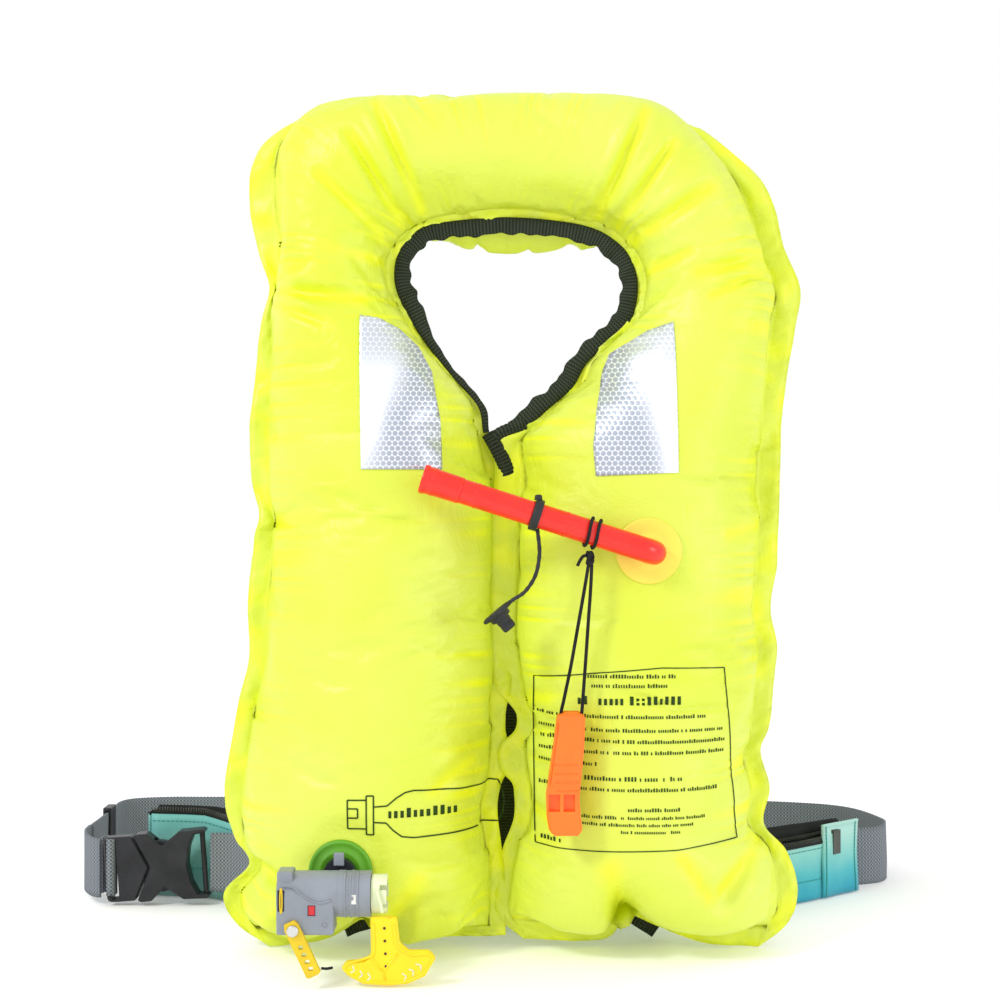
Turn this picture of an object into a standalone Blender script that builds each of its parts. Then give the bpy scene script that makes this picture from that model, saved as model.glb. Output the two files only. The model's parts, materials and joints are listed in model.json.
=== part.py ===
"""Inflatable belt-pack life jacket: a horse-collar bladder, its inflator, oral tube and whistle, and a waist belt.

Frame: +X to the wearer's left when worn (to the right seen from the front), +Y away from the front, +Z up.
The origin is on the floor, in the middle of the whole object. Lengths below are in millimetres.
"""
import math

import bmesh
import bpy
from mathutils import Matrix, Vector
from mathutils.bvhtree import BVHTree

MM = 0.001
GAP = 0.4               # room between neighbours that touch on the real object
MID_Y = -110.0          # the plane of the bladder's weld

# Bladder: a welded two-layer tube with an inverted U path. Each station is a section of the tube:
# (outer edge x, z), (inner edge x, z), half of its inflated depth.
STATIONS = [
    ((-141, 0), (3, 0), 31), ((-163, 24), (5, 24), 51), ((-164, 60), (5, 60), 56), ((-163, 97), (5, 97), 57),
    ((-156, 153), (8, 153), 57), ((-149, 214), (9, 214), 56), ((-145, 270), (9, 270), 54),
    ((-149, 325), (-4, 319), 50), ((-144, 372), (-34, 372), 46), ((-138, 409), (-56, 406), 42),
    ((-149, 452), (-56, 430), 42), ((-141, 501), (-45, 442), 43), ((-99, 525), (-25, 447), 42),
    ((5, 530), (5, 449), 40), ((92, 525), (39, 446), 42), ((146, 493), (67, 440), 43),
    ((177, 452), (86, 423), 42), ((192, 406), (88, 401), 42), ((186, 372), (69, 372), 46),
    ((181, 319), (16, 319), 50), ((178, 270), (13, 270), 54), ((175, 214), (13, 214), 56),
    ((174, 153), (13, 153), 57), ((170, 97), (9, 97), 57), ((184, 57), (9, 57), 56), ((186, 24), (8, 24), 51),
    ((169, 0), (8, 0), 31),
]
FLANGE_WIDTH = 5.0      # flat weld outside the inflated part
FLANGE_HALF = 0.8
SECTION_POWER = 2.3     # how square the inflated section is
SECTION_POINTS = 9      # points across one face of the section
STEPS_PER_STATION = 2

NECK_CENTRE = (16.0, 380.0)
BINDING_STATIONS = (7, 19)
BINDING_WIDTH = 9.0
BINDING_DEPTH = 5.0
PATCH_THICKNESS = 0.7
PATCH_GAP = 2.3
PATCH_CELL = 9.0
PATCH_LEFT = [(-78, 386), (-76, 294), (-29, 294), (-36, 353), (-44, 368), (-56, 379)]
PATCH_RIGHT = [(109, 382), (110, 292), (62, 290), (63, 329), (68, 354), (72, 364), (94, 377)]

# Oral inflation tube, from its mouth at the left to its elbow at the right.
TUBE_Y = -180.0
TUBE_MOUTH = Vector((-39.5, TUBE_Y, 288.5))
TUBE_ELBOW = Vector((95.4, TUBE_Y, 245.3))
TUBE_AXIS = (TUBE_ELBOW - TUBE_MOUTH).normalized()
TUBE_SIDES = 24
TUBE_RADIUS = 7.2
TUBE_BORE = 5.0
TUBE_BORE_DEPTH = 24.0
ELBOW_RADIUS = 9.0
ORAL_FLANGE_RADIUS = 19.5
ORAL_FLANGE_BACK = -167.7
ORAL_FLANGE_THICKNESS = 2.6
MOUTHPIECE_LENGTH = 24.0
RING_X = 26.5           # the dust cap's ring on the tube
WRAP_XS = {"lanyard_wrap_left": 56.8, "lanyard_wrap_right": 61.4}
CORD_RADIUS = 1.0

# Dust cap on its tether.
CAP_CENTRE = Vector((4.0, -176.0, 210.5))
CAP_AXIS = Vector((0.64, 0.0, -0.77)).normalized()
TETHER_ROUTE = [(27.3, -180, 257.3), (28.3, -180, 245), (26, -179, 232.5), (20, -177, 223), (13.4, -176, 218.4)]
TETHER_RADIUS = 1.2

# Whistle on its lanyard.
KNOT = Vector((57.4, -180.0, 242.3))
KNOT_HALF_HEIGHT = 4.8
WHISTLE_Y = -174.0
WHISTLE_DEPTH = 14.0
WHISTLE_OUTLINE = [
    (38.6, 150), (36.2, 132), (32.2, 105), (32.6, 92), (34, 84), (37, 82.3), (50.5, 82.3), (53.4, 84.5),
    (52.3, 92), (51.4, 104), (54.2, 133), (54.8, 150), (52.5, 153), (41, 153),
]
EYE_CENTRE = (46.8, 147.6)
CORD_ROUTE = [
    (56.3, -180, 236.6), (54.4, -179.4, 225), (51, -177.6, 205), (46.7, -175.4, 180), (42.6, -174.2, 160),
    (41, -174, 152), (42.3, -174, 146.2), (46.8, -174, 143.2), (51.3, -174, 146), (52.9, -174, 152),
    (53.6, -174.2, 160), (55, -175.4, 180), (56.6, -177.6, 205), (57.9, -179.4, 225), (58.9, -180, 236.6),
]

# Inflator, standing in front of the left lobe.
FLANGE_CENTRE = (-87.7, 58.6)
INFLATOR_FLANGE_RADIUS = 18.8
INFLATOR_FLANGE_BACK = -167.0
INFLATOR_FLANGE_THICKNESS = 2.6
HUB_RADIUS = 9.4
BODY_AXIS_Y = -190.0
BODY_AXIS_Z = 51.0
BODY_RADIUS = 13.0
BODY_X = (-121.0, -68.0)
HOUSING_FRONT = -203.0
HOUSING = ((-121.0, -203.0, 30.0), (-88.5, -182.0, 52.0))
LEVER_PIVOT = (-111.2, 33.4)
LEVER_TIP = (-99.5, 8.6)
LEVER_WIDTH = 8.6
LEVER_THICKNESS = 3.0
PIN_RADIUS = 2.0
PIN_HEAD_RADIUS = 3.3
COLLAR_RADIUS = 11.0
COLLAR_BORE = 8.0
COLLAR_X = (-67.6, -58.9)
COLLAR_FINGERS = 6
HANDLE_Y = -197.5
HANDLE_THICKNESS = 5.0
HANDLE_OUTLINE = [
    (-68, 39.5), (-53, 39.5), (-51.5, 25), (-46, 20.5), (-34.8, 20.5), (-30.8, 16.2), (-37, 6), (-47, 1.6),
    (-58, 0.6), (-72, 1.6), (-81, 6.5), (-84.6, 10.6), (-81.4, 14.6), (-71.5, 15), (-67.6, 18.5),
]

# Belt and pouch: plan points are (x, y) seen from above.
STRAP_THICKNESS = 2.2
STRAP_WIDTH = 40.0
STRAP_LIFT = 4.5        # the strap's lower edge on the left, above the floor
GLIDE_X = -285.5        # the straight run of strap that carries the slider
BELT_PLAN = [
    (-285.5, 62), (-285.5, 90), (-285.5, 130), (-285.5, 160), (-276, 178), (-248, 190), (-178, 201), (-58, 207),
    (66, 206), (152, 198), (214, 184), (256, 167), (275, 147), (286, 112), (286.5, 92), (279.5, 75), (264, 67),
]
BELT_LIFTS = [4.5, 4.5, 4.5, 4.5, 4, 3, 1, 0.3, 0.3, 0.3, 0.6, 1, 1, 1, 1, 1, 1]
LEFT_STRAP_PLAN = [(-267, 9), (-273, 14), (-280, 27), (-284.6, 44), (-285.5, 61.4)]
SHORT_STRAP_PLAN = [(-192.3, 9), (-185, 8.6), (-178, 7), (-170, 2.5), (-163, -2.5)]
SHORT_STRAP_LIFT = 8.4
POUCH_PLAN = [
    (-236, 41), (-196, 33), (-158, 9), (-120, -15), (-80, -32), (-30, -43), (30, -44), (90, -37), (140, -21),
    (175, -2), (211, 20), (250, 57),
]
POUCH_DEPTH = 16.0
PANEL_THICKNESS = 2.0
FRONT_HEIGHTS = [40, 40, 38, 38, 38, 38, 38, 38, 38, 38, 39, 40]
BACK_HEIGHTS = [60, 60, 56, 50, 48, 48, 48, 48, 50, 50, 50, 48]
POUCH_FLOOR_TOP = 3.0
COIL_RADIUS = 1.4
COIL_LIFT = 42.0

# Side-release buckle, drawn level about its own middle and then leaned.
BUCKLE_CENTRE = Vector((-225.5, 9.0, 26.4))
BUCKLE_LEAN = math.radians(-4.0)
BUCKLE_THICKNESS = 13.0
BUCKLE_CAVITY_HALF = 3.6
FEMALE_HALF_OUTLINE = [
    (-7, 0), (-17, 21.5), (-15.5, 23), (-8, 23), (2, 14), (14, 23), (30, 23.5), (32, 22.3), (32, 21), (24, 20.5),
    (20, 12), (18, 0),
]
MALE_HALF_OUTLINE = [(-38, 0), (-38, 20), (-36, 22), (-18.6, 22), (-8.2, 0)]
PRONG_OUTLINE = [(-12.4, 9), (-13, 14.5), (0, 17.6), (7.5, 16), (8, 12), (12, 10.5), (12, 8), (0, 10.5)]
PRONG_THICKNESS = 6.0

MATERIALS = {
    "bladder_yellow": ((0.92, 0.97, 0.10), 0.45, 0.0),
    "binding_black": ((0.03, 0.035, 0.03), 0.85, 0.0),
    "reflective_silver": ((0.62, 0.65, 0.70), 0.35, 0.0),
    "tube_red": ((0.88, 0.07, 0.04), 0.40, 0.0),
    "flange_orange": ((0.95, 0.62, 0.10), 0.40, 0.0),
    "rubber_black": ((0.02, 0.02, 0.022), 0.60, 0.0),
    "cord_black": ((0.02, 0.02, 0.02), 0.80, 0.0),
    "whistle_orange": ((0.98, 0.26, 0.02), 0.40, 0.0),
    "valve_white": ((0.80, 0.80, 0.76), 0.45, 0.0),
    "spring_steel": ((0.60, 0.60, 0.60), 0.30, 1.0),
    "inflator_grey": ((0.32, 0.35, 0.40), 0.45, 0.0),
    "inflator_green": ((0.13, 0.40, 0.03), 0.50, 0.0),
    "hub_black": ((0.03, 0.03, 0.035), 0.50, 0.0),
    "indicator_red": ((0.75, 0.04, 0.03), 0.40, 0.0),
    "lever_yellow": ((0.76, 0.52, 0.01), 0.45, 0.0),
    "handle_yellow": ((0.97, 0.73, 0.01), 0.45, 0.0),
    "collar_white": ((0.75, 0.80, 0.55), 0.40, 0.0),
    "webbing_grey": ((0.08, 0.10, 0.11), 0.85, 0.0),
    "buckle_black": ((0.07, 0.07, 0.08), 0.45, 0.0),
    "pouch_teal": ((0.20, 0.52, 0.50), 0.70, 0.0),
    "lining_black": ((0.015, 0.018, 0.016), 0.80, 0.0),
}


def clear_scene():
    for obj in list(bpy.data.objects):
        bpy.data.objects.remove(obj)


def make_collection(name):
    collection = bpy.data.collections.new(name)
    bpy.context.scene.collection.children.link(collection)
    return collection


def material(name):
    found = bpy.data.materials.get(name)
    if found:
        return found
    color, roughness, metallic = MATERIALS[name]
    made = bpy.data.materials.new(name)
    made.use_nodes = True
    shader = made.node_tree.nodes["Principled BSDF"]
    shader.inputs["Base Color"].default_value = (*color, 1.0)
    shader.inputs["Roughness"].default_value = roughness
    shader.inputs["Metallic"].default_value = metallic
    made.diffuse_color = (*color, 1.0)
    return made


def add_object(name, data, slot, matrix=None):
    """A new object in the life jacket's collection, with its material."""
    obj = bpy.data.objects.new(name, data)
    PARTS.objects.link(obj)
    data.materials.append(material(slot))
    if matrix is not None:
        obj.matrix_world = matrix
    return obj


def make_cutter(obj):
    """Moves an object to the cutters' collection and hides it."""
    PARTS.objects.unlink(obj)
    CUTTERS.objects.link(obj)
    obj.hide_render = True
    obj.display_type = "WIRE"
    return obj


def combine(obj, other, operation="DIFFERENCE"):
    modifier = obj.modifiers.new(operation.lower() + "_" + other.name, "BOOLEAN")
    modifier.operation = operation
    modifier.object = other
    modifier.solver = "EXACT"
    return obj


def mesh_from(name, build):
    """A mesh filled in by build(bmesh), with its faces turned outwards."""
    mesh = bpy.data.meshes.new(name)
    bm = bmesh.new()
    build(bm)
    bmesh.ops.recalc_face_normals(bm, faces=bm.faces)
    bm.to_mesh(mesh)
    bm.free()
    return mesh


def frame_along(direction, position):
    """A matrix whose Z runs along direction, placed at position (millimetres in, metres out)."""
    turn = Vector(direction).to_track_quat("Z", "Y").to_matrix().to_4x4()
    return Matrix.Translation(Vector(position) * MM) @ turn


def smooth_points(points, steps):
    """Points on the Catmull-Rom curve through the given points."""
    points = [Vector(p) for p in points]
    ends = [2 * points[0] - points[1]] + points + [2 * points[-1] - points[-2]]
    made = []
    for i in range(1, len(ends) - 2):
        a, b, c, d = ends[i - 1:i + 3]
        for k in range(steps):
            t = k / steps
            made.append(0.5 * (2 * b + (c - a) * t + (2 * a - 5 * b + 4 * c - d) * t ** 2
                               + (3 * b - a - 3 * c + d) * t ** 3))
    return made + [points[-1]]


def box(name, low, high, slot, bevel=0.0):
    low, high = Vector(low) * MM, Vector(high) * MM

    def build(bm):
        bmesh.ops.create_cube(bm, size=1.0)
        bmesh.ops.scale(bm, vec=high - low, verts=bm.verts)
    obj = add_object(name, mesh_from(name, build), slot, Matrix.Translation((low + high) / 2))
    if bevel:
        round_edges(obj, bevel)
    return obj


def round_edges(obj, width, segments=2):
    modifier = obj.modifiers.new("rounding", "BEVEL")
    modifier.width = width * MM
    modifier.segments = segments
    modifier.limit_method = "ANGLE"
    modifier.angle_limit = math.radians(40)


def cylinder(name, start, end, radius, slot, segments=24):
    start, end = Vector(start), Vector(end)
    length = (end - start).length

    def build(bm):
        bmesh.ops.create_cone(bm, cap_ends=True, segments=segments, radius1=radius * MM, radius2=radius * MM,
                              depth=length * MM)
    return add_object(name, mesh_from(name, build), slot, frame_along(end - start, (start + end) / 2))


def turned(name, profile, slot, matrix, segments=24, closed=False):
    """A profile of (radius, height) points, running down its outer side, turned about Z."""
    mesh = bpy.data.meshes.new(name)
    count = len(profile)
    edges = [(i, i + 1) for i in range(count - 1)] + ([(count - 1, 0)] if closed else [])
    mesh.from_pydata([(r * MM, 0, h * MM) for r, h in profile], edges, [])
    obj = add_object(name, mesh, slot, matrix)
    screw = obj.modifiers.new("turn", "SCREW")
    screw.steps = screw.render_steps = segments
    screw.use_merge_vertices = True
    screw.merge_threshold = 0.00001
    return obj


def ring(name, inner, outer, length, slot, matrix, segments=24):
    """A plain ring turned about Z, centred on the matrix's origin."""
    half = length / 2
    profile = [(inner, half), (outer, half), (outer, -half), (inner, -half)]
    return turned(name, profile, slot, matrix, segments, closed=True)


def rope(name, points, radius, slot, cyclic=False, resolution=2):
    """A round cord or tube through the points."""
    curve = bpy.data.curves.new(name, "CURVE")
    curve.dimensions = "3D"
    curve.bevel_depth = radius * MM
    curve.bevel_resolution = resolution
    curve.use_fill_caps = not cyclic
    spline = curve.splines.new("POLY")
    spline.points.add(len(points) - 1)
    for point, place in zip(spline.points, points):
        point.co = (*(Vector(place) * MM), 1.0)
    spline.use_cyclic_u = cyclic
    return add_object(name, curve, slot)


def plate(name, outline, thickness, slot, matrix, bevel=0.0):
    """A flat outline in the matrix's XY plane, with half its thickness on each side, as a closed mesh."""
    half = thickness * MM / 2

    def build(bm):
        low = [bm.verts.new((x * MM, y * MM, -half)) for x, y in outline]
        face = bm.faces.new(low)
        extruded = bmesh.ops.extrude_face_region(bm, geom=[face])
        moved = [v for v in extruded["geom"] if isinstance(v, bmesh.types.BMVert)]
        bmesh.ops.translate(bm, vec=(0, 0, 2 * half), verts=moved)
    obj = add_object(name, mesh_from(name, build), slot, matrix)
    if bevel:
        round_edges(obj, bevel, 1)
    return obj


def upright(y):
    """The matrix that stands a plate's XY plane up in XZ, facing the front, at depth y."""
    return Matrix.Translation((0, y * MM, 0)) @ Matrix.Rotation(math.radians(90), 4, "X")


def loft(name, rings, slot):
    """A closed solid through rings of points, with flat ends."""
    def build(bm):
        loops = [[bm.verts.new(Vector(p) * MM) for p in points] for points in rings]
        count = len(loops[0])
        for first, second in zip(loops, loops[1:]):
            for i in range(count):
                j = (i + 1) % count
                bm.faces.new((first[i], first[j], second[j], second[i]))
        bm.faces.new(loops[0][::-1])
        bm.faces.new(loops[-1])
    return add_object(name, mesh_from(name, build), slot)


def band(name, plan, lows, highs, thickness, slot, offset=0.0, steps=3):
    """An upright strip of fabric along a plan curve. Offset moves it to the left of the curve's direction."""
    count = len(plan)
    lows = [lows] * count if isinstance(lows, (int, float)) else lows
    highs = [highs] * count if isinstance(highs, (int, float)) else highs
    stations = smooth_points([(x, y, lo, hi) for (x, y), lo, hi in zip(plan, lows, highs)], steps)
    rings = []
    for i, (x, y, low, high) in enumerate(stations):
        ahead, behind = stations[min(i + 1, len(stations) - 1)], stations[max(i - 1, 0)]
        side = Vector((behind.y - ahead.y, ahead.x - behind.x)).normalized()
        near, far = side * (offset - thickness / 2), side * (offset + thickness / 2)
        rings.append([(x + near.x, y + near.y, low), (x + far.x, y + far.y, low),
                      (x + far.x, y + far.y, high), (x + near.x, y + near.y, high)])
    return loft(name, rings, slot)


def offset_plan(plan, offset):
    """The plan curve moved sideways, to the left of its direction."""
    made = []
    for i, (x, y) in enumerate(plan):
        ahead, behind = plan[min(i + 1, len(plan) - 1)], plan[max(i - 1, 0)]
        side = Vector((behind[1] - ahead[1], ahead[0] - behind[0])).normalized()
        made.append((x + side.x * offset, y + side.y * offset))
    return made


# ---------------------------------------------------------------- bladder

def section(outer, inner, half_depth):
    """One section of the bladder: inflated in the middle, with a flat weld flange at both edges."""
    outer, inner = Vector(outer), Vector(inner)
    across = (inner - outer).normalized()
    low, high = outer + across * FLANGE_WIDTH, inner - across * FLANGE_WIDTH
    front = [(outer, FLANGE_HALF)]
    for k in range(SECTION_POINTS):
        u = -math.cos(math.pi * k / (SECTION_POINTS - 1))
        bulge = (1 - min(1.0, abs(u)) ** SECTION_POWER) ** 0.5
        front.append((low.lerp(high, (u + 1) / 2), FLANGE_HALF + (half_depth - FLANGE_HALF) * bulge))
    front.append((inner, FLANGE_HALF))
    face = [(p.x, MID_Y - depth, p.y) for p, depth in front]
    back = [(p.x, MID_Y + depth, p.y) for p, depth in reversed(front)]
    return face + back


def make_bladder():
    packed = [(*outer, *inner) for outer, inner, _ in STATIONS]
    outers = smooth_points([(p[0], p[1], 0) for p in packed], STEPS_PER_STATION)
    inners = smooth_points([(p[2], p[3], 0) for p in packed], STEPS_PER_STATION)
    depths = smooth_points([(s[2], 0, 0) for s in STATIONS], STEPS_PER_STATION)
    rings = [section(o.xy, i.xy, d.x) for o, i, d in zip(outers, inners, depths)]
    return loft("bladder", rings, "bladder_yellow")


def make_neck_binding():
    """The webbing sewn round the neck opening's edge."""
    centre = Vector(NECK_CENTRE)
    inners = smooth_points([(x, z, 0) for _, (x, z), _ in STATIONS], STEPS_PER_STATION)
    first, last = BINDING_STATIONS[0] * STEPS_PER_STATION, BINDING_STATIONS[1] * STEPS_PER_STATION
    path = []
    for i in range(first, last + 1):
        side = (inners[i + 1] - inners[i - 1]).xy.orthogonal().normalized()
        if side.dot(centre - inners[i].xy) < 0:
            side.negate()
        path.append(inners[i].xy + side * (2 * GAP + BINDING_WIDTH / 2))
    rings = []
    for i, p in enumerate(path):
        ahead, behind = path[min(i + 1, len(path) - 1)], path[max(i - 1, 0)]
        side = (ahead - behind).orthogonal().normalized() * BINDING_WIDTH / 2
        y0, y1 = MID_Y - BINDING_DEPTH / 2, MID_Y + BINDING_DEPTH / 2
        a, b = p + side, p - side
        rings.append([(a.x, y0, a.y), (b.x, y0, b.y), (b.x, y1, b.y), (a.x, y1, a.y)])
    return loft("neck_binding", rings, "binding_black")


def make_patch(name, outline, tree):
    """A reflective patch that follows the bladder's front face."""
    xs, zs = [p[0] for p in outline], [p[1] for p in outline]

    def build(bm):
        bm.faces.new([bm.verts.new((x * MM, 0, z * MM)) for x, z in outline])
        for values, normal in ((xs, (1, 0, 0)), (zs, (0, 0, 1))):
            place = min(values) + PATCH_CELL
            while place < max(values) - 2:
                point = Vector(normal) * place * MM
                bmesh.ops.bisect_plane(bm, geom=bm.verts[:] + bm.edges[:] + bm.faces[:],
                                       plane_co=point, plane_no=normal)
                place += PATCH_CELL
        for vert in bm.verts:
            hit, normal = tree.ray_cast(Vector((vert.co.x, -1.0, vert.co.z)), Vector((0, 1, 0)))[:2]
            vert.co = hit + normal * PATCH_GAP * MM
    mesh = mesh_from(name, build)
    if mesh.polygons[0].normal.y > 0:
        mesh.flip_normals()
    obj = add_object(name, mesh, "reflective_silver")
    solidify = obj.modifiers.new("thickness", "SOLIDIFY")
    solidify.thickness = PATCH_THICKNESS * MM
    solidify.offset = 1.0
    return obj


def build_bladder_group():
    bladder = make_bladder()
    make_neck_binding()
    tree = BVHTree.FromPolygons([v.co for v in bladder.data.vertices], [p.vertices for p in bladder.data.polygons])
    make_patch("reflective_patch_left", PATCH_LEFT, tree)
    make_patch("reflective_patch_right", PATCH_RIGHT, tree)


# ---------------------------------------------------------------- oral tube

def on_tube(x):
    """The point of the tube's centre line at that x."""
    return TUBE_MOUTH + TUBE_AXIS * ((x - TUBE_MOUTH.x) / TUBE_AXIS.x)


def into_tube(depth):
    """The matrix on the tube's axis at that depth below its mouth, with Z out of the mouth."""
    return frame_along(-TUBE_AXIS, TUBE_MOUTH + TUBE_AXIS * depth)


def tube_rings(end_y):
    """The tube's rings as (centre, direction, radius): up its bore, over its mouth, down its outside and round its elbow."""
    straight = (TUBE_ELBOW - TUBE_MOUTH).length - ELBOW_RADIUS
    stations = [(TUBE_BORE_DEPTH, TUBE_BORE), (0, TUBE_BORE), (0, TUBE_RADIUS), (straight / 2, TUBE_RADIUS),
                (straight, TUBE_RADIUS)]
    rings = [(TUBE_MOUTH + TUBE_AXIS * distance, TUBE_AXIS, radius) for distance, radius in stations]
    start, back = TUBE_MOUTH + TUBE_AXIS * straight, Vector((0, 1, 0))
    for k in range(1, 7):
        a = math.radians(15 * k)
        centre = start + TUBE_AXIS * ELBOW_RADIUS * math.sin(a) + back * ELBOW_RADIUS * (1 - math.cos(a))
        rings.append((centre, TUBE_AXIS * math.cos(a) + back * math.sin(a), TUBE_RADIUS))
    last = rings[-1][0]
    rings.append((Vector((last.x, end_y, last.z)), back, TUBE_RADIUS))
    return rings


def fill_tube(bm, end_y):
    side = TUBE_AXIS.cross(Vector((0, -1, 0))).normalized()
    loops = []
    for centre, ahead, radius in tube_rings(end_y):
        up = side.cross(ahead).normalized()
        angles = [2 * math.pi * k / TUBE_SIDES for k in range(TUBE_SIDES)]
        loops.append([bm.verts.new((centre + (up * math.cos(a) + side * math.sin(a)) * radius) * MM) for a in angles])
    for near, far in zip(loops, loops[1:]):
        for k in range(TUBE_SIDES):
            n = (k + 1) % TUBE_SIDES
            bm.faces.new((near[k], near[n], far[n], far[k]))
    bm.faces.new(loops[0])
    bm.faces.new(loops[-1])
    bmesh.ops.triangulate(bm, faces=bm.faces)


def build_oral_tube():
    end_y = ORAL_FLANGE_BACK - ORAL_FLANGE_THICKNESS - GAP
    flange_at = (TUBE_ELBOW.x - 3, ORAL_FLANGE_BACK - ORAL_FLANGE_THICKNESS, TUBE_ELBOW.z + 1)
    cylinder("oral_tube_flange", (flange_at[0], ORAL_FLANGE_BACK, flange_at[2]), flange_at, ORAL_FLANGE_RADIUS,
             "flange_orange", 32)
    add_object("oral_tube", mesh_from("oral_tube", lambda bm: fill_tube(bm, end_y)), "tube_red")
    ring("oral_mouthpiece", TUBE_RADIUS + GAP, TUBE_RADIUS + 1.6, MOUTHPIECE_LENGTH, "tube_red",
         into_tube(MOUTHPIECE_LENGTH / 2), 24)
    ring("oral_valve_seat", 2.2, TUBE_BORE - 0.35, 2.5, "valve_white", into_tube(9.3), 20)
    head = [(0, -2), (3.8, -2), (3.8, -4.2), (1.4, -4.2), (1.4, -16), (0, -16)]
    turned("oral_valve_poppet", head, "valve_white", into_tube(0), 16)
    turns, wire, coil = 3, 0.3, 2.4
    helix = []
    for k in range(turns * 12 + 1):
        a = 2 * math.pi * k / 12
        helix.append(into_tube(0).to_3x3() @ Vector((coil * math.cos(a), coil * math.sin(a), -4.8 - 0.85 * k / 12))
                     + TUBE_MOUTH)
    rope("oral_valve_spring", helix, wire, "spring_steel", resolution=1)


def build_dust_cap():
    at = on_tube(RING_X)
    ring("tether_ring", TUBE_RADIUS + GAP, TUBE_RADIUS + 2.1, 5.0, "rubber_black", frame_along(TUBE_AXIS, at), 24)
    rope("cap_tether", smooth_points(TETHER_ROUTE, 4), TETHER_RADIUS, "rubber_black", resolution=1)
    profile = [(0, 1.5), (9, 1.5), (9.7, 0.6), (9.7, -1), (6.4, -1.4), (6.4, -4), (4.3, -4.6), (4.3, -11), (3.4, -12),
               (0, -12)]
    turned("dust_cap", profile, "rubber_black", frame_along(-CAP_AXIS, CAP_CENTRE), 24)


def build_whistle():
    for name, x in WRAP_XS.items():
        centre = on_tube(x)
        turn = Vector(TUBE_AXIS).to_track_quat("Z", "Y").to_matrix()
        radius = TUBE_RADIUS + GAP + CORD_RADIUS
        circle = [centre + turn @ Vector((radius * math.cos(a), radius * math.sin(a), 0))
                  for a in [2 * math.pi * k / 20 for k in range(20)]]
        rope(name, circle, CORD_RADIUS, "cord_black", cyclic=True, resolution=1)

    def build_knot(bm):
        bmesh.ops.create_uvsphere(bm, u_segments=14, v_segments=8, radius=2.9 * MM)
        bmesh.ops.scale(bm, vec=(1, 1, KNOT_HALF_HEIGHT / 2.9), verts=bm.verts)
    add_object("lanyard_knot", mesh_from("lanyard_knot", build_knot), "cord_black", Matrix.Translation(KNOT * MM))
    rope("lanyard_cord", smooth_points(CORD_ROUTE, 4), CORD_RADIUS, "cord_black")
    body = plate("whistle_body", WHISTLE_OUTLINE, WHISTLE_DEPTH, "whistle_orange", upright(WHISTLE_Y), bevel=1.6)
    slot = make_cutter(box("eye_slot", (30, WHISTLE_Y - 2, 140.5), (60, WHISTLE_Y + 2, 160), "whistle_orange"))
    combine(body, slot)
    x, z = EYE_CENTRE
    bar = make_cutter(cylinder("eye_bar", (x, WHISTLE_Y - 4, z), (x, WHISTLE_Y + 4, z), 1.8, "whistle_orange", 14))
    combine(body, bar, "UNION")
    for k, low_x in enumerate((33.6, 42.2)):
        window = make_cutter(box(f"whistle_window_{k}", (low_x, WHISTLE_Y - 12, 96), (low_x + 6.6, WHISTLE_Y - 3, 106),
                                 "whistle_orange"))
        combine(body, window)


# ---------------------------------------------------------------- inflator

def build_inflator():
    x, z = FLANGE_CENTRE
    front = INFLATOR_FLANGE_BACK - INFLATOR_FLANGE_THICKNESS
    cylinder("inflator_flange", (x, INFLATOR_FLANGE_BACK, z), (x, front, z), INFLATOR_FLANGE_RADIUS, "inflator_green",
             32)
    hub_front = BODY_AXIS_Y + BODY_RADIUS + GAP
    cylinder("inflator_hub", (x, front - GAP, z), (x, hub_front, z), HUB_RADIUS, "hub_black", 28)
    box("inflator_clip_tab", (x - 3, hub_front - 2.8, BODY_AXIS_Z + BODY_RADIUS + GAP),
        (x + 3, hub_front - GAP, z + HUB_RADIUS + 4), "inflator_grey", 0.6)
    low, high = BODY_X
    body = cylinder("inflator_body", (low, BODY_AXIS_Y, BODY_AXIS_Z), (high, BODY_AXIS_Y, BODY_AXIS_Z), BODY_RADIUS,
                    "inflator_grey", 36)
    for k, (rib_low, rib_high) in enumerate(((-86.5, -82.5), (-79.5, -77.2))):
        rib = make_cutter(cylinder(f"body_rib_{k}", (rib_low, BODY_AXIS_Y, BODY_AXIS_Z),
                                   (rib_high, BODY_AXIS_Y, BODY_AXIS_Z), BODY_RADIUS + 0.25, "inflator_grey", 36))
        combine(body, rib, "UNION")
    combine(body, make_cutter(box("body_housing", *HOUSING, "inflator_grey", 1.2)), "UNION")
    combine(body, make_cutter(box("body_ear", (-121, -200, 55), (-112, -184, 65.2), "inflator_grey", 1.0)), "UNION")
    combine(body, make_cutter(box("end_recess", (-125, -198, 48), (-113, -183, 61), "inflator_grey")))
    combine(body, make_cutter(box("indicator_recess", (-103.2, -206, 41), (-98.8, -200, 47), "inflator_grey")))
    box("status_indicator", (-102.8, -202.6, 41.4), (-99.2, -200.4, 46.6), "indicator_red")
    build_lever()
    build_collar()
    plate("jerk_handle", HANDLE_OUTLINE, HANDLE_THICKNESS, "handle_yellow", upright(HANDLE_Y), bevel=1.0)
    strip = [(-64.5, -202.4, 57), (-63.5, -203, 53), (-62, -203, 48), (-61, -202.4, 43)]
    rope("handle_clip", smooth_points(strip, 3), 1.1, "collar_white", resolution=1)


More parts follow.
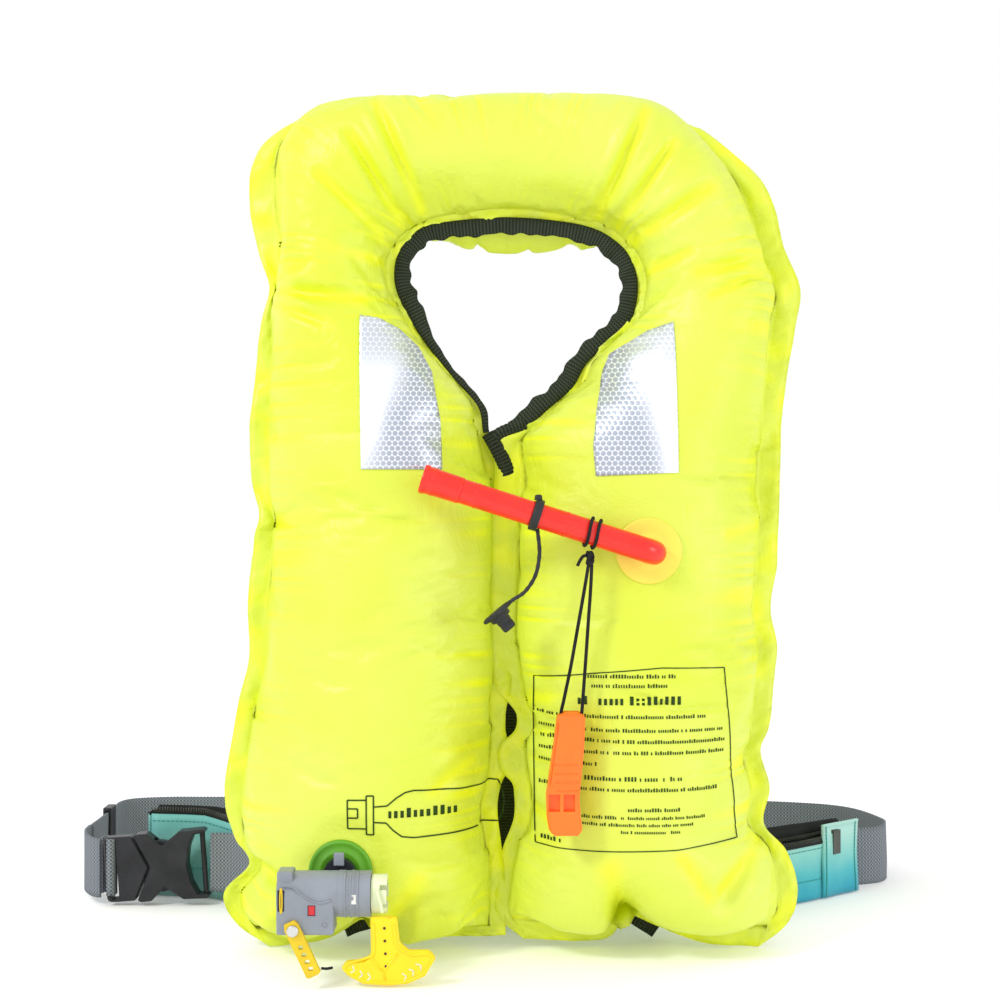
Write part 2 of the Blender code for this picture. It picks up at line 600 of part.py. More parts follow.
def build_lever():
    pivot, tip = Vector(LEVER_PIVOT), Vector(LEVER_TIP)
    along = (tip - pivot).normalized()
    side = along.orthogonal().normalized() * LEVER_WIDTH / 2
    back = HOUSING_FRONT - GAP
    outline = [pivot - along * 5 + side * 0.7, pivot - along * 5 - side * 0.7, pivot - along * 2 - side,
               tip - side, tip + along * 0.8 - side * 0.6, tip + along * 0.8 + side * 0.6, tip + side,
               pivot - along * 2 + side]
    middle_y = back - LEVER_THICKNESS / 2
    lever = plate("firing_lever", [tuple(p) for p in outline], LEVER_THICKNESS, "lever_yellow", upright(middle_y))
    x, z = LEVER_PIVOT
    hole = make_cutter(cylinder("lever_hole", (x, back + 2, z), (x, back - LEVER_THICKNESS - 2, z), PIN_RADIUS + 0.3,
                                "lever_yellow", 20))
    combine(lever, hole)
    for k in range(4):
        at = pivot.lerp(tip, 0.38 + 0.16 * k)
        square = make_cutter(box(f"lever_window_{k}", (at.x - 1.3, back - LEVER_THICKNESS - 2, at.y - 1.1),
                                 (at.x + 1.3, back + 2, at.y + 1.1), "lever_yellow"))
        combine(lever, square)
    head = back - LEVER_THICKNESS - GAP
    shank = HOUSING_FRONT - GAP * 0.5 - head
    profile = [(0, 1.8), (PIN_HEAD_RADIUS - 0.6, 1.8), (PIN_HEAD_RADIUS, 1.2), (PIN_HEAD_RADIUS, 0), (PIN_RADIUS, 0),
               (PIN_RADIUS, -shank), (0, -shank)]
    turned("lever_pivot_pin", profile, "spring_steel", frame_along((0, -1, 0), (x, head, z)), 20)
    end = tip + side.normalized() * (LEVER_WIDTH / 2 + GAP)
    if end.x < tip.x:
        end = tip - side.normalized() * (LEVER_WIDTH / 2 + GAP)
    cord = [(end.x, middle_y, end.y + 1.5), (end.x + 3, middle_y + 1, end.y + 1), (end.x + 6, middle_y + 3, end.y + 1)]
    rope("pull_cord", smooth_points(cord, 3), 0.8, "cord_black", resolution=1)


def build_collar():
    """The castellated ring that the gas cylinder screws into."""
    low, high = COLLAR_X
    matrix = frame_along((1, 0, 0), ((low + high) / 2, BODY_AXIS_Y, BODY_AXIS_Z))
    collar = ring("cylinder_collar", COLLAR_BORE, COLLAR_RADIUS, high - low, "collar_white", matrix, 36)
    for k in range(COLLAR_FINGERS):
        notch = box(f"collar_notch_{k}", (-1.6, -14, 0.4), (1.6, -6, 8), "collar_white")
        notch.matrix_world = matrix @ Matrix.Rotation(2 * math.pi * k / COLLAR_FINGERS, 4, "Z") @ notch.matrix_world
        combine(collar, make_cutter(notch))


# ---------------------------------------------------------------- belt and pouch

def build_pouch():
    half = POUCH_DEPTH / 2
    inner_back = half - PANEL_THICKNESS - GAP
    band("pouch_front_panel", POUCH_PLAN, 0.2, FRONT_HEIGHTS, PANEL_THICKNESS, "pouch_teal", -half + PANEL_THICKNESS / 2)
    band("pouch_back_panel", POUCH_PLAN, 0.2, BACK_HEIGHTS, PANEL_THICKNESS, "pouch_teal", half - PANEL_THICKNESS / 2)
    band("pouch_floor", POUCH_PLAN, 0.2, POUCH_FLOOR_TOP, 2 * inner_back, "pouch_teal")
    band("pouch_lining", POUCH_PLAN, POUCH_FLOOR_TOP + GAP, [h - 3 for h in BACK_HEIGHTS], 0.8, "lining_black",
         inner_back - 0.4)
    front_coil = offset_plan(POUCH_PLAN, -half + PANEL_THICKNESS / 2)
    tops = [h + GAP + COIL_RADIUS for h in FRONT_HEIGHTS]
    rope("zip_coil_front", smooth_points([(x, y, z) for (x, y), z in zip(front_coil, tops)], 3), COIL_RADIUS,
         "lining_black", resolution=1)
    back_coil = offset_plan(POUCH_PLAN, inner_back - 0.8 - GAP - COIL_RADIUS)
    rope("zip_coil_back", smooth_points([(x, y, COIL_LIFT) for x, y in back_coil], 3), COIL_RADIUS, "lining_black",
         resolution=1)
    for name, index, step in (("pouch_end_left", 0, 1), ("pouch_end_right", -1, -1)):
        end, before = Vector(POUCH_PLAN[index]), Vector(POUCH_PLAN[index + step])
        out = (end - before).normalized()
        side = Vector((-out.y, out.x))
        a = end + out * (GAP + PANEL_THICKNESS / 2)
        plan = [tuple(a - side * half), tuple(a + side * half)]
        band(name, plan, 0.2, BACK_HEIGHTS[index] - 2, PANEL_THICKNESS, "pouch_teal", steps=1)
    build_slider()


def build_slider():
    """The zip's slider on the front coil, with its pull tab."""
    start, end = (Vector(p) for p in offset_plan(POUCH_PLAN, -POUCH_DEPTH / 2 + PANEL_THICKNESS / 2)[-2:])
    along = (end - start).normalized()
    at = start.lerp(end, 0.55)
    z = FRONT_HEIGHTS[-1] + 2 * COIL_RADIUS + 2 * GAP
    place = Matrix.Translation(Vector((at.x, at.y, z)) * MM) @ Matrix.Rotation(math.atan2(along.y, along.x), 4, "Z")
    slider = box("zip_slider", (-5, -3.5, 0.4), (5, 3.5, 3.2), "lining_black", 0.5)
    slider.matrix_world = place @ slider.matrix_world
    pull = box("zip_pull", (-4, -4.9, -14), (4, -3.9, 2.6), "lining_black", 0.3)
    pull.matrix_world = place @ pull.matrix_world


def build_belt():
    highs = [low + STRAP_WIDTH for low in BELT_LIFTS]
    band("belt_strap", BELT_PLAN, BELT_LIFTS, highs, STRAP_THICKNESS, "webbing_grey", steps=4)
    band("belt_strap_left", LEFT_STRAP_PLAN, STRAP_LIFT, STRAP_LIFT + STRAP_WIDTH, STRAP_THICKNESS, "webbing_grey")
    band("buckle_short_strap", SHORT_STRAP_PLAN, SHORT_STRAP_LIFT, SHORT_STRAP_LIFT + STRAP_WIDTH, STRAP_THICKNESS, "webbing_grey")
    glide = box("tri_glide", (GLIDE_X - 3, 110, 1), (GLIDE_X + 3, 128, 48), "buckle_black", 0.8)
    room = 0.5
    tunnel = box("glide_tunnel", (GLIDE_X - STRAP_THICKNESS / 2 - room, 100, STRAP_LIFT - 1.2),
                 (GLIDE_X + STRAP_THICKNESS / 2 + room, 140, STRAP_LIFT + STRAP_WIDTH + 1.2), "buckle_black")
    combine(glide, make_cutter(tunnel))


def mirrored(half_outline):
    """A closed outline from its upper half, whose first and last points are on the X axis."""
    return half_outline + [(x, -z) for x, z in half_outline[-2:0:-1]]


def build_buckle():
    lean = Matrix.Translation(BUCKLE_CENTRE * MM) @ Matrix.Rotation(BUCKLE_LEAN, 4, "Y")
    facing = lean @ Matrix.Rotation(math.radians(90), 4, "X")
    female = plate("buckle_female", mirrored(FEMALE_HALF_OUTLINE), BUCKLE_THICKNESS, "buckle_black", facing, bevel=1.2)

    def leaned_box(name, low, high):
        obj = box(name, low, high, "buckle_black")
        obj.matrix_world = lean @ obj.matrix_world
        return make_cutter(obj)
    combine(female, leaned_box("female_cavity", (-22, -BUCKLE_CAVITY_HALF, -19), (14, BUCKLE_CAVITY_HALF, 19)))
    bar = cylinder("female_bar", (29, 0, -21), (29, 0, 21), 1.8, "buckle_black", 14)
    bar.matrix_world = lean @ bar.matrix_world
    combine(female, make_cutter(bar), "UNION")

    male = plate("buckle_male", mirrored(MALE_HALF_OUTLINE), BUCKLE_THICKNESS - 2, "buckle_black", facing, bevel=1.0)
    combine(male, leaned_box("male_slot", (-34.5, -9, -20.2), (-29.5, 9, 20.2)))
    tongue = leaned_box("male_tongue", (-14, -BUCKLE_CAVITY_HALF + 0.5, -4), (11, BUCKLE_CAVITY_HALF - 0.5, 4))
    combine(male, tongue, "UNION")
    for name, sign in (("buckle_prong_upper", 1), ("buckle_prong_lower", -1)):
        outline = [(x, sign * z) for x, z in PRONG_OUTLINE]
        plate(name, outline, PRONG_THICKNESS, "buckle_black", facing, bevel=0.5)


clear_scene()
PARTS = make_collection("life_jacket")
CUTTERS = make_collection("cutters")
build_bladder_group()
build_oral_tube()
build_dust_cap()
build_whistle()
build_inflator()
build_pouch()
build_belt()
build_buckle()
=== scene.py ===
"""The looks of an inflatable belt-pack life jacket, built round its CAD frame.

Lengths in the named values and lists are in millimetres, in the CAD frame:
+X to the right seen from the front, +Y away from the viewer, +Z up.
"""
import json
import math

import bmesh
import bpy
import numpy as np
from mathutils import Matrix, Vector, noise
from mathutils.bvhtree import BVHTree


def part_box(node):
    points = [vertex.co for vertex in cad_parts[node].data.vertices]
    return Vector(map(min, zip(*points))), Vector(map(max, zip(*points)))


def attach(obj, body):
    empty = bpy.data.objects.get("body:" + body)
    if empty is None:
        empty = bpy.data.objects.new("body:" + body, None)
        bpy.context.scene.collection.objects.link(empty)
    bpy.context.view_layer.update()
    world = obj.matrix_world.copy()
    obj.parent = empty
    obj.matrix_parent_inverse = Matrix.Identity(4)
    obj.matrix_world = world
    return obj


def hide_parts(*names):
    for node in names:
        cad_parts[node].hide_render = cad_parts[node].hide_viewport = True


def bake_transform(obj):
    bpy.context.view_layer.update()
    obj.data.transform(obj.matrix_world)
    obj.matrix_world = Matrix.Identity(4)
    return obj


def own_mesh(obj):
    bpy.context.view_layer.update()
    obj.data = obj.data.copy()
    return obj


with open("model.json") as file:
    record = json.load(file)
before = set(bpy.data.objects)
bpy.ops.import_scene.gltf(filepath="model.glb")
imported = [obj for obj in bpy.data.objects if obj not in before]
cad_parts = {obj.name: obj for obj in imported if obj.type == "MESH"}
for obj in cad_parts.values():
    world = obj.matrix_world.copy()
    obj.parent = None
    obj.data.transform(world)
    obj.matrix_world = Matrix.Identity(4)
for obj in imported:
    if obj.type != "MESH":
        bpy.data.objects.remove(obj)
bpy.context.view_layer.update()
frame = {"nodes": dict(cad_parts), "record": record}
MM = 0.001
BODY = "jacket"

# ------------------------------------------------------------------ camera, lights, floor
EYE = (5.5, -1210.0, 276.0)
LENS = 64.2
SENSOR = 36.0


def put_in_scene(obj):
    bpy.context.scene.collection.objects.link(obj)
    return obj


def make_camera():
    data = bpy.data.cameras.new("camera")
    data.lens, data.sensor_width = LENS, SENSOR
    data.clip_start, data.clip_end = 0.01, 50
    camera = put_in_scene(bpy.data.objects.new("camera", data))
    camera.location = Vector(EYE) * MM
    camera.rotation_euler = (math.radians(90), 0, 0)
    bpy.context.scene.camera = camera


def make_area(name, place, target, size, power):
    data = bpy.data.lights.new(name, "AREA")
    data.shape, data.size, data.energy = "DISK", size, power
    light = put_in_scene(bpy.data.objects.new(name, data))
    light.location = place
    light.rotation_euler = (Vector(target) - Vector(place)).to_track_quat("-Z", "Y").to_euler()


def make_stage():
    world = bpy.data.worlds.new("studio")
    bpy.context.scene.world = world
    world.use_nodes = True
    world.node_tree.nodes["Background"].inputs["Color"].default_value = (1, 1, 1, 1)
    world.node_tree.nodes["Background"].inputs["Strength"].default_value = 1.0
    mesh = bpy.data.meshes.new("floor")
    bm = bmesh.new()
    bmesh.ops.create_grid(bm, x_segments=1, y_segments=1, size=30)
    bm.to_mesh(mesh)
    bm.free()
    floor = put_in_scene(bpy.data.objects.new("floor", mesh))
    floor.location.z = -0.0005
    paint, _, _, shader = new_material("floor_paint", (0.9, 0.9, 0.9), 0.9)
    shader.inputs["Emission Color"].default_value = (1, 1, 1, 1)
    shader.inputs["Emission Strength"].default_value = 0.16
    mesh.materials.append(paint)
    make_area("key", (-1.3, -1.3, 1.5), (0, -0.1, 0.3), 0.5, 20)
    make_area("fill", (1.7, -1.2, 0.5), (0, -0.1, 0.25), 0.8, 8.0)
    bpy.context.scene.view_settings.view_transform = "Standard"


# ------------------------------------------------------------------ materials

def new_material(name, color, roughness, metallic=0.0):
    made = bpy.data.materials.new(name)
    made.use_nodes = True
    nodes, links = made.node_tree.nodes, made.node_tree.links
    shader = nodes["Principled BSDF"]
    shader.inputs["Base Color"].default_value = (*color, 1)
    shader.inputs["Roughness"].default_value = roughness
    shader.inputs["Metallic"].default_value = metallic
    return made, nodes, links, shader


def node(nodes, kind, **values):
    made = nodes.new(kind)
    for name, value in values.items():
        if name in made.inputs:
            made.inputs[name].default_value = value
        else:
            setattr(made, name.lower(), value)
    return made


def noise_of(nodes, links, place, **values):
    """A noise texture laid over the piece's own coordinates."""
    made = node(nodes, "ShaderNodeTexNoise", **values)
    links.new(place.outputs["Object"], made.inputs["Vector"])
    return made


def color_ramp(nodes, stops):
    ramp = nodes.new("ShaderNodeValToRGB")
    while len(ramp.color_ramp.elements) < len(stops):
        ramp.color_ramp.elements.new(0.5)
    for element, (place, color) in zip(ramp.color_ramp.elements, stops):
        element.position, element.color = place, (*color, 1)
    return ramp


def span_of(nodes, links, value, low, high):
    """A value brought from between low and high to between 0 and 1."""
    made = nodes.new("ShaderNodeMapRange")
    made.inputs["From Min"].default_value, made.inputs["From Max"].default_value = low, high
    links.new(value, made.inputs["Value"])
    return made


def color_mix(nodes, links, share, first, second):
    """Two colours, each a socket or a plain colour, mixed by a socket's value."""
    made = node(nodes, "ShaderNodeMix", Data_Type="RGBA")
    links.new(share, made.inputs[0])
    for at, color in ((6, first), (7, second)):
        if isinstance(color, tuple):
            made.inputs[at].default_value = (*color, 1)
        else:
            links.new(color, made.inputs[at])
    return made.outputs[2]


def add_bump(nodes, links, shader, height, strength, distance):
    bump = nodes.new("ShaderNodeBump")
    bump.inputs["Strength"].default_value = strength
    bump.inputs["Distance"].default_value = distance
    links.new(height, bump.inputs["Height"])
    links.new(bump.outputs["Normal"], shader.inputs["Normal"])
    return bump


def coated_yellow():
    """Fluorescent coated nylon whose colour holds painted light: a paler painted sheen on the full chambers,
    and a deeper yellow on the flat welds and, as painted shade, in the folds and gathers.
    """
    made, nodes, links, shader = new_material("coated_yellow", (0.7, 0.78, 0.05), 0.42)
    place = nodes.new("ShaderNodeTexCoord")
    cloud = noise_of(nodes, links, place, Scale=9.0, Detail=3.0)
    # the chamber's paler colour, with more blue, is a painted sheen; the noise varies it only a little
    chamber = color_ramp(nodes, [(0.35, (0.545, 0.635, 0.035)), (0.65, (0.58, 0.67, 0.095))])
    links.new(cloud.outputs["Fac"], chamber.inputs["Fac"])
    # this attribute gives the deep yellow of the welds and the painted shade of the folds and gathers
    flat = nodes.new("ShaderNodeAttribute")
    flat.attribute_name = "flange_and_shade"
    mixed = color_mix(nodes, links, flat.outputs["Fac"], chamber.outputs["Color"], (0.73, 0.78, 0.008))
    links.new(mixed, shader.inputs["Base Color"])
    # painted glow: the cloth glows a little, partly for its fluorescence, and this lifts its shade towards
    # saturated yellow
    shader.inputs["Emission Color"].default_value = (0.85, 0.95, 0.0, 1)
    shader.inputs["Emission Strength"].default_value = 0.10
    crinkle = noise_of(nodes, links, place, Scale=34.0, Detail=6.0, Roughness=0.62, Distortion=0.7)
    weave = noise_of(nodes, links, place, Scale=1500.0, Detail=1.0)
    coarse = add_bump(nodes, links, shader, crinkle.outputs["Fac"], 0.7, 0.003)
    fine = add_bump(nodes, links, shader, weave.outputs["Fac"], 0.12, 0.0002)
    links.new(coarse.outputs["Normal"], fine.inputs["Normal"])
    return made


def moulded(name, color, roughness=0.45, grain=900.0, vary=0.12, painted_glow=0.0):
    """Moulded plastic or rubber: slightly uneven colour, a fine surface grain and, where it is given, a
    painted glow that lifts the piece's shade.
    """
    made, nodes, links, shader = new_material(name, color, roughness)
    shader.inputs["Specular IOR Level"].default_value = 0.22 if max(color) < 0.1 else 0.5
    place = nodes.new("ShaderNodeTexCoord")
    cloud = noise_of(nodes, links, place, Scale=60.0, Detail=4.0)
    dark = tuple(c * (1 - vary) for c in color)
    light = tuple(min(1.0, c * (1 + vary)) for c in color)
    ramp = color_ramp(nodes, [(0.3, dark), (0.7, light)])
    links.new(cloud.outputs["Fac"], ramp.inputs["Fac"])
    links.new(ramp.outputs["Color"], shader.inputs["Base Color"])
    fine = noise_of(nodes, links, place, Scale=grain, Detail=2.0)
    add_bump(nodes, links, shader, fine.outputs["Fac"], 0.25, 0.00015)
    # painted glow: the piece glows a little, though it is no lamp
    if painted_glow:
        shader.inputs["Emission Color"].default_value = (*color, 1)
        shader.inputs["Emission Strength"].default_value = painted_glow
    return made


def woven(name, color, thread, rib, gain=1.35, ribbed=1.0):
    """Webbing: threads along the UV map's two directions, in metres, and ribs across it."""
    made, nodes, links, shader = new_material(name, color, 0.8)
    shader.inputs["Specular IOR Level"].default_value = 0.15
    strength = node(nodes, "ShaderNodeMath", operation="MULTIPLY")
    strength.inputs[1].default_value = ribbed
    uv = nodes.new("ShaderNodeUVMap")
    split = nodes.new("ShaderNodeSeparateXYZ")
    links.new(uv.outputs["UV"], split.inputs["Vector"])
    waves = []
    for axis, pitch in (("X", rib), ("Y", thread)):
        scaled = node(nodes, "ShaderNodeMath", operation="MULTIPLY")
        scaled.inputs[1].default_value = 2 * math.pi / pitch
        sine = node(nodes, "ShaderNodeMath", operation="SINE")
        links.new(split.outputs[axis], scaled.inputs[0])
        links.new(scaled.outputs[0], sine.inputs[0])
        waves.append(sine.outputs[0])
    product = node(nodes, "ShaderNodeMath", operation="MULTIPLY_ADD")
    links.new(waves[0], product.inputs[0])
    links.new(waves[1], product.inputs[1])
    links.new(waves[0], strength.inputs[0])
    links.new(strength.outputs[0], product.inputs[2])
    span = span_of(nodes, links, product.outputs[0], -1 - ribbed, 1 + ribbed)
    dark, light = tuple(c * 0.55 for c in color), tuple(min(1, c * gain) for c in color)
    ramp = color_ramp(nodes, [(0.1, dark), (0.9, light)])
    links.new(span.outputs[0], ramp.inputs["Fac"])
    links.new(ramp.outputs["Color"], shader.inputs["Base Color"])
    add_bump(nodes, links, shader, span.outputs[0], 0.6, 0.0004)
    return made


def brushed(name, color):
    made, nodes, links, shader = new_material(name, color, 0.32, 1.0)
    place = nodes.new("ShaderNodeTexCoord")
    streak = noise_of(nodes, links, place, Scale=400.0, Detail=4.0)
    ramp = color_ramp(nodes, [(0.3, (0.25, 0.25, 0.25)), (0.7, (0.42, 0.42, 0.42))])
    links.new(streak.outputs["Fac"], ramp.inputs["Fac"])
    links.new(ramp.outputs["Color"], shader.inputs["Roughness"])
    return made


def make_materials():
    # where a moulded piece is given four numbers, the last is its painted glow
    return {
        "bladder_yellow": coated_yellow(),
        "binding_black": woven("binding_black", (0.008, 0.010, 0.007), 0.0017, 0.0021, 6.5),
        "reflective_silver": reflective(),
        "ink_green": moulded("ink_green", (0.02, 0.05, 0.006), 0.6),
        "tube_red": moulded("tube_red", (0.84, 0.018, 0.010), 0.28, 500, 0.2),
        "flange_orange": moulded("flange_orange", (0.82, 0.62, 0.07), 0.45, 700, 0.06, 0.10),
        "rubber_black": moulded("rubber_black", (0.025, 0.027, 0.028), 0.5, 900, 0.3),
        "cord_black": moulded("cord_black", (0.012, 0.012, 0.012), 0.8, 4000, 0.4),
        "whistle_orange": moulded("whistle_orange", (0.90, 0.155, 0.006), 0.35, 700, 0.08, 0.05),
        "valve_white": moulded("valve_white", (0.7, 0.7, 0.66), 0.45),
        "spring_steel": brushed("spring_steel", (0.62, 0.62, 0.62)),
        "inflator_grey": moulded("inflator_grey", (0.23, 0.255, 0.30), 0.42, 1100, 0.1),
        "inflator_green": moulded("inflator_green", (0.10, 0.33, 0.012), 0.5, 900, 0.12, 0.03),
        "hub_black": moulded("hub_black", (0.02, 0.022, 0.03), 0.35, 900, 0.3),
        "indicator_red": moulded("indicator_red", (0.62, 0.02, 0.03), 0.4),
        "lever_yellow": moulded("lever_yellow", (0.66, 0.46, 0.004), 0.42, 800, 0.1, 0.04),
        "handle_yellow": moulded("handle_yellow", (0.88, 0.62, 0.003), 0.42, 800, 0.06, 0.06),
        "collar_white": moulded("collar_white", (0.70, 0.76, 0.50), 0.4),
        "webbing_grey": woven("webbing_grey", (0.125, 0.138, 0.155), 0.0026, 0.0026, 2.2, 0.25),
        "buckle_black": moulded("buckle_black", (0.022, 0.022, 0.026), 0.36, 900, 0.3),
        "pouch_teal": teal_cloth(),
        "thread_teal": moulded("thread_teal", (0.03, 0.30, 0.28), 0.7, 2500),
        "lining_black": moulded("lining_black", (0.012, 0.014, 0.012), 0.75, 1500, 0.3),
        "zip_black": moulded("zip_black", (0.075, 0.08, 0.07), 0.35, 1500, 0.3),
    }


def paint_frame_nodes():
    """Every CAD node that stays in view takes its slot's finished material."""
    slots = {row["node"]: row["material_slot"] for row in frame["record"]["subparts"]}
    for name, obj in frame["nodes"].items():
        obj.data.materials.clear()
        obj.data.materials.append(FINISH[slots[name]])


# ------------------------------------------------------------------ bladder
MID_Y = (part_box("bladder")[0].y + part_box("bladder")[1].y) / 2 / MM

# Outer edge x, z; inner edge x, z; half depth; outer weld width; how far the outer weld folds back, 0 to 1.
BLADDER = [
    (-137, 0, 9, 8, 50, 13, 0), (-158, 15, 9, 15, 54, 13, 0), (-165, 34, 9, 32, 56, 13, 0),
    (-149, 52, 8, 49, 56, 8, 0), (-158, 67, 6, 66, 56, 9, 0), (-164, 88, 4, 88, 57, 13, 0),
    (-163, 111, 8, 111, 57, 14, 0), (-156, 150, 9, 147, 57, 14, 0), (-149.5, 180, 10, 180, 57, 13, 0),
    (-150, 215, 10, 215, 56, 14, 0), (-146, 252, 10, 252, 55, 14, 0), (-143, 267, 10, 267, 54, 11, 0),
    (-148, 287, 8, 287, 53, 13, 0), (-149, 318, -2, 315, 51, 14, 0), (-147.5, 335, -6, 334, 49, 13, 0),
    (-146, 352, -22, 353, 48, 12, 0), (-144, 370, -36, 370, 46, 11, 0), (-141, 390, -48, 388, 44, 9, 0),
    (-137, 408, -56, 405, 42, 8, 0.1), (-145, 432, -57.5, 418, 42, 17, 0.2),
    (-150, 458, -54, 430, 42, 19, 0.2), (-148, 484, -45, 440, 43, 18, 0.2),
    (-136, 507, -38, 443.5, 43, 14, 0.5), (-112, 521, -30, 445, 42, 8, 0.9),
    (-75, 527.5, -18, 446.5, 41, 7, 1), (-35, 529.5, -5, 447.6, 40, 7, 1), (5.5, 530, 8, 448.2, 40, 7, 1),
    (45, 529.5, 24, 447.6, 40, 7, 1), (85, 527, 40, 446, 41, 7, 1), (112, 520, 54, 443.8, 42, 8, 0.9),
    (136, 503, 66, 440, 43, 12, 0.4), (160, 481, 76, 433.6, 43, 17, 0.1), (174, 458, 83, 426, 42, 20, 0),
    (181, 432, 88, 413, 42, 18, 0), (191, 405, 87.6, 398.5, 42, 20, 0), (188, 384, 83, 385, 44, 18, 0),
    (184, 362, 70, 373, 46, 16, 0), (182, 347, 57, 361, 47, 15, 0), (180.5, 334, 48, 346, 48, 15, 0),
    (179.5, 321, 30, 330, 50, 15, 0), (178.5, 306, 13, 312, 52, 15, 0), (177.6, 285, 11, 285, 53, 15, 0),
    (177.5, 265, 8, 265, 54, 15, 0), (176, 234, 7, 234, 56, 15, 0), (172.7, 209, 7, 209, 56, 13, 0),
    (176.4, 185, 8, 185, 57, 15, 0), (174, 158, 12, 158, 57, 14, 0), (171, 136, 16, 140, 57, 13, 0),
    (166, 121, 12, 122, 57, 11, 0), (172, 98, 14, 98, 57, 14, 0), (168, 77, 14, 80, 56, 10, 0),
    (182, 60, 7, 60, 56, 12, 0), (189, 37, 3, 38, 55, 14, 0), (184, 17, 2, 22, 54, 13, 0),
    (165, 0, 20, 5, 50, 13, 0),
]
SLIT_TOP_Z = 316
ROWS = 330
END_ROWS = 4
COLUMNS = 26
FLANGE_COLUMNS = 4
INNER_WELD = 8.0
SLIT_WELD = 11.0
END_ROUND = 48.0
SECTION_POWER = 2.2
SLACK = 0.045
SIM_FRAMES = 22
SIM_CAP = 9.0
# Where a fitting's disc is welded on: x, z, radius and the y of its back.
SEATS = [(92.4, 246.3, 20, -167.7), (-87.7, 58.6, 20, -167.0)]

# Folds: start x, z; end x, z; width; depth.
FOLDS = [
    (-70, 515, -42, 452, 3.2, 6), (-84, 494, -55, 445, 3, 6), (-102, 470, -66, 436, 3, 4),
    (92, 508, 66, 450, 3.4, 6), (108, 488, 78, 444, 3, 5), (130, 462, 88, 434, 4, 5),
    (-132, 402, -76, 396, 4, 6), (-134, 396, -96, 380, 3, 5), (-134, 408, -108, 418, 3, 4),
    (172, 423, 124, 412, 4, 6), (170, 416, 132, 398, 3, 4), (118, 424, 92, 413, 3, 3),
    (-43, 52, -74, 8, 6, 16), (70, 60, 85, 4, 6.5, 30), (-152, 58, -108, 46, 4, 7),
    (-128, 30, -86, 62, 4, 4), (166, 72, 138, 46, 6, 8), (130, 40, 112, 66, 4, 4),
    (172, 122, 146, 117, 4, 5), (-146, 266, -122, 260, 4, 4), (12, 96, 36, 84, 4, 4),
    (-12, 120, -34, 104, 4, 3), (10, 150, 34, 158, 4, 3), (172, 262, 142, 256, 4, 4),
]
# Where the lower edge lifts off the floor: x, height, width to its left and to its right.
LIFTS = [(-78, 17, 16, 12), (84, 21, 7, 27)]


def catmull_rom(a, b, c, d, t):
    """The curve's point between b and c, at share t."""
    square = (2 * a - 5 * b + 4 * c - d) * t ** 2
    cube = (3 * b - a - 3 * c + d) * t ** 3
    return 0.5 * (2 * b + (c - a) * t + square + cube)


def spline(rows, count):
    """Evenly spread samples of the Catmull-Rom curve through rows whose first four columns are two points."""
    p = np.array(rows, float)
    p = np.vstack([2 * p[0] - p[1], p, 2 * p[-1] - p[-2]])
    t = np.linspace(0, 1, 24, endpoint=False)[:, None]
    made = []
    for i in range(1, len(p) - 2):
        a, b, c, d = p[i - 1:i + 3]
        made.append(catmull_rom(a, b, c, d, t))
    fine = np.vstack(made + [p[-2:-1]])
    middle = (fine[:, 0:2] + fine[:, 2:4]) / 2
    run = np.concatenate([[0], np.cumsum(np.linalg.norm(np.diff(middle, axis=0), axis=1))])
    at = np.linspace(0, run[-1], count)
    return np.stack([np.interp(at, run, fine[:, k]) for k in range(fine.shape[1])], 1), run[-1]


def smoothstep(x):
    x = np.clip(x, 0, 1)
    return x * x * (3 - 2 * x)


def lumpy(points, size, seed):
    """Smooth noise from -1 to 1 at each point."""
    return np.array([noise.noise(Vector((x / size + seed, y / size, z / size))) for x, y, z in points])


def noise_along(distances, y, z):
    return np.array([noise.noise(Vector((d, y, z))) for d in distances])


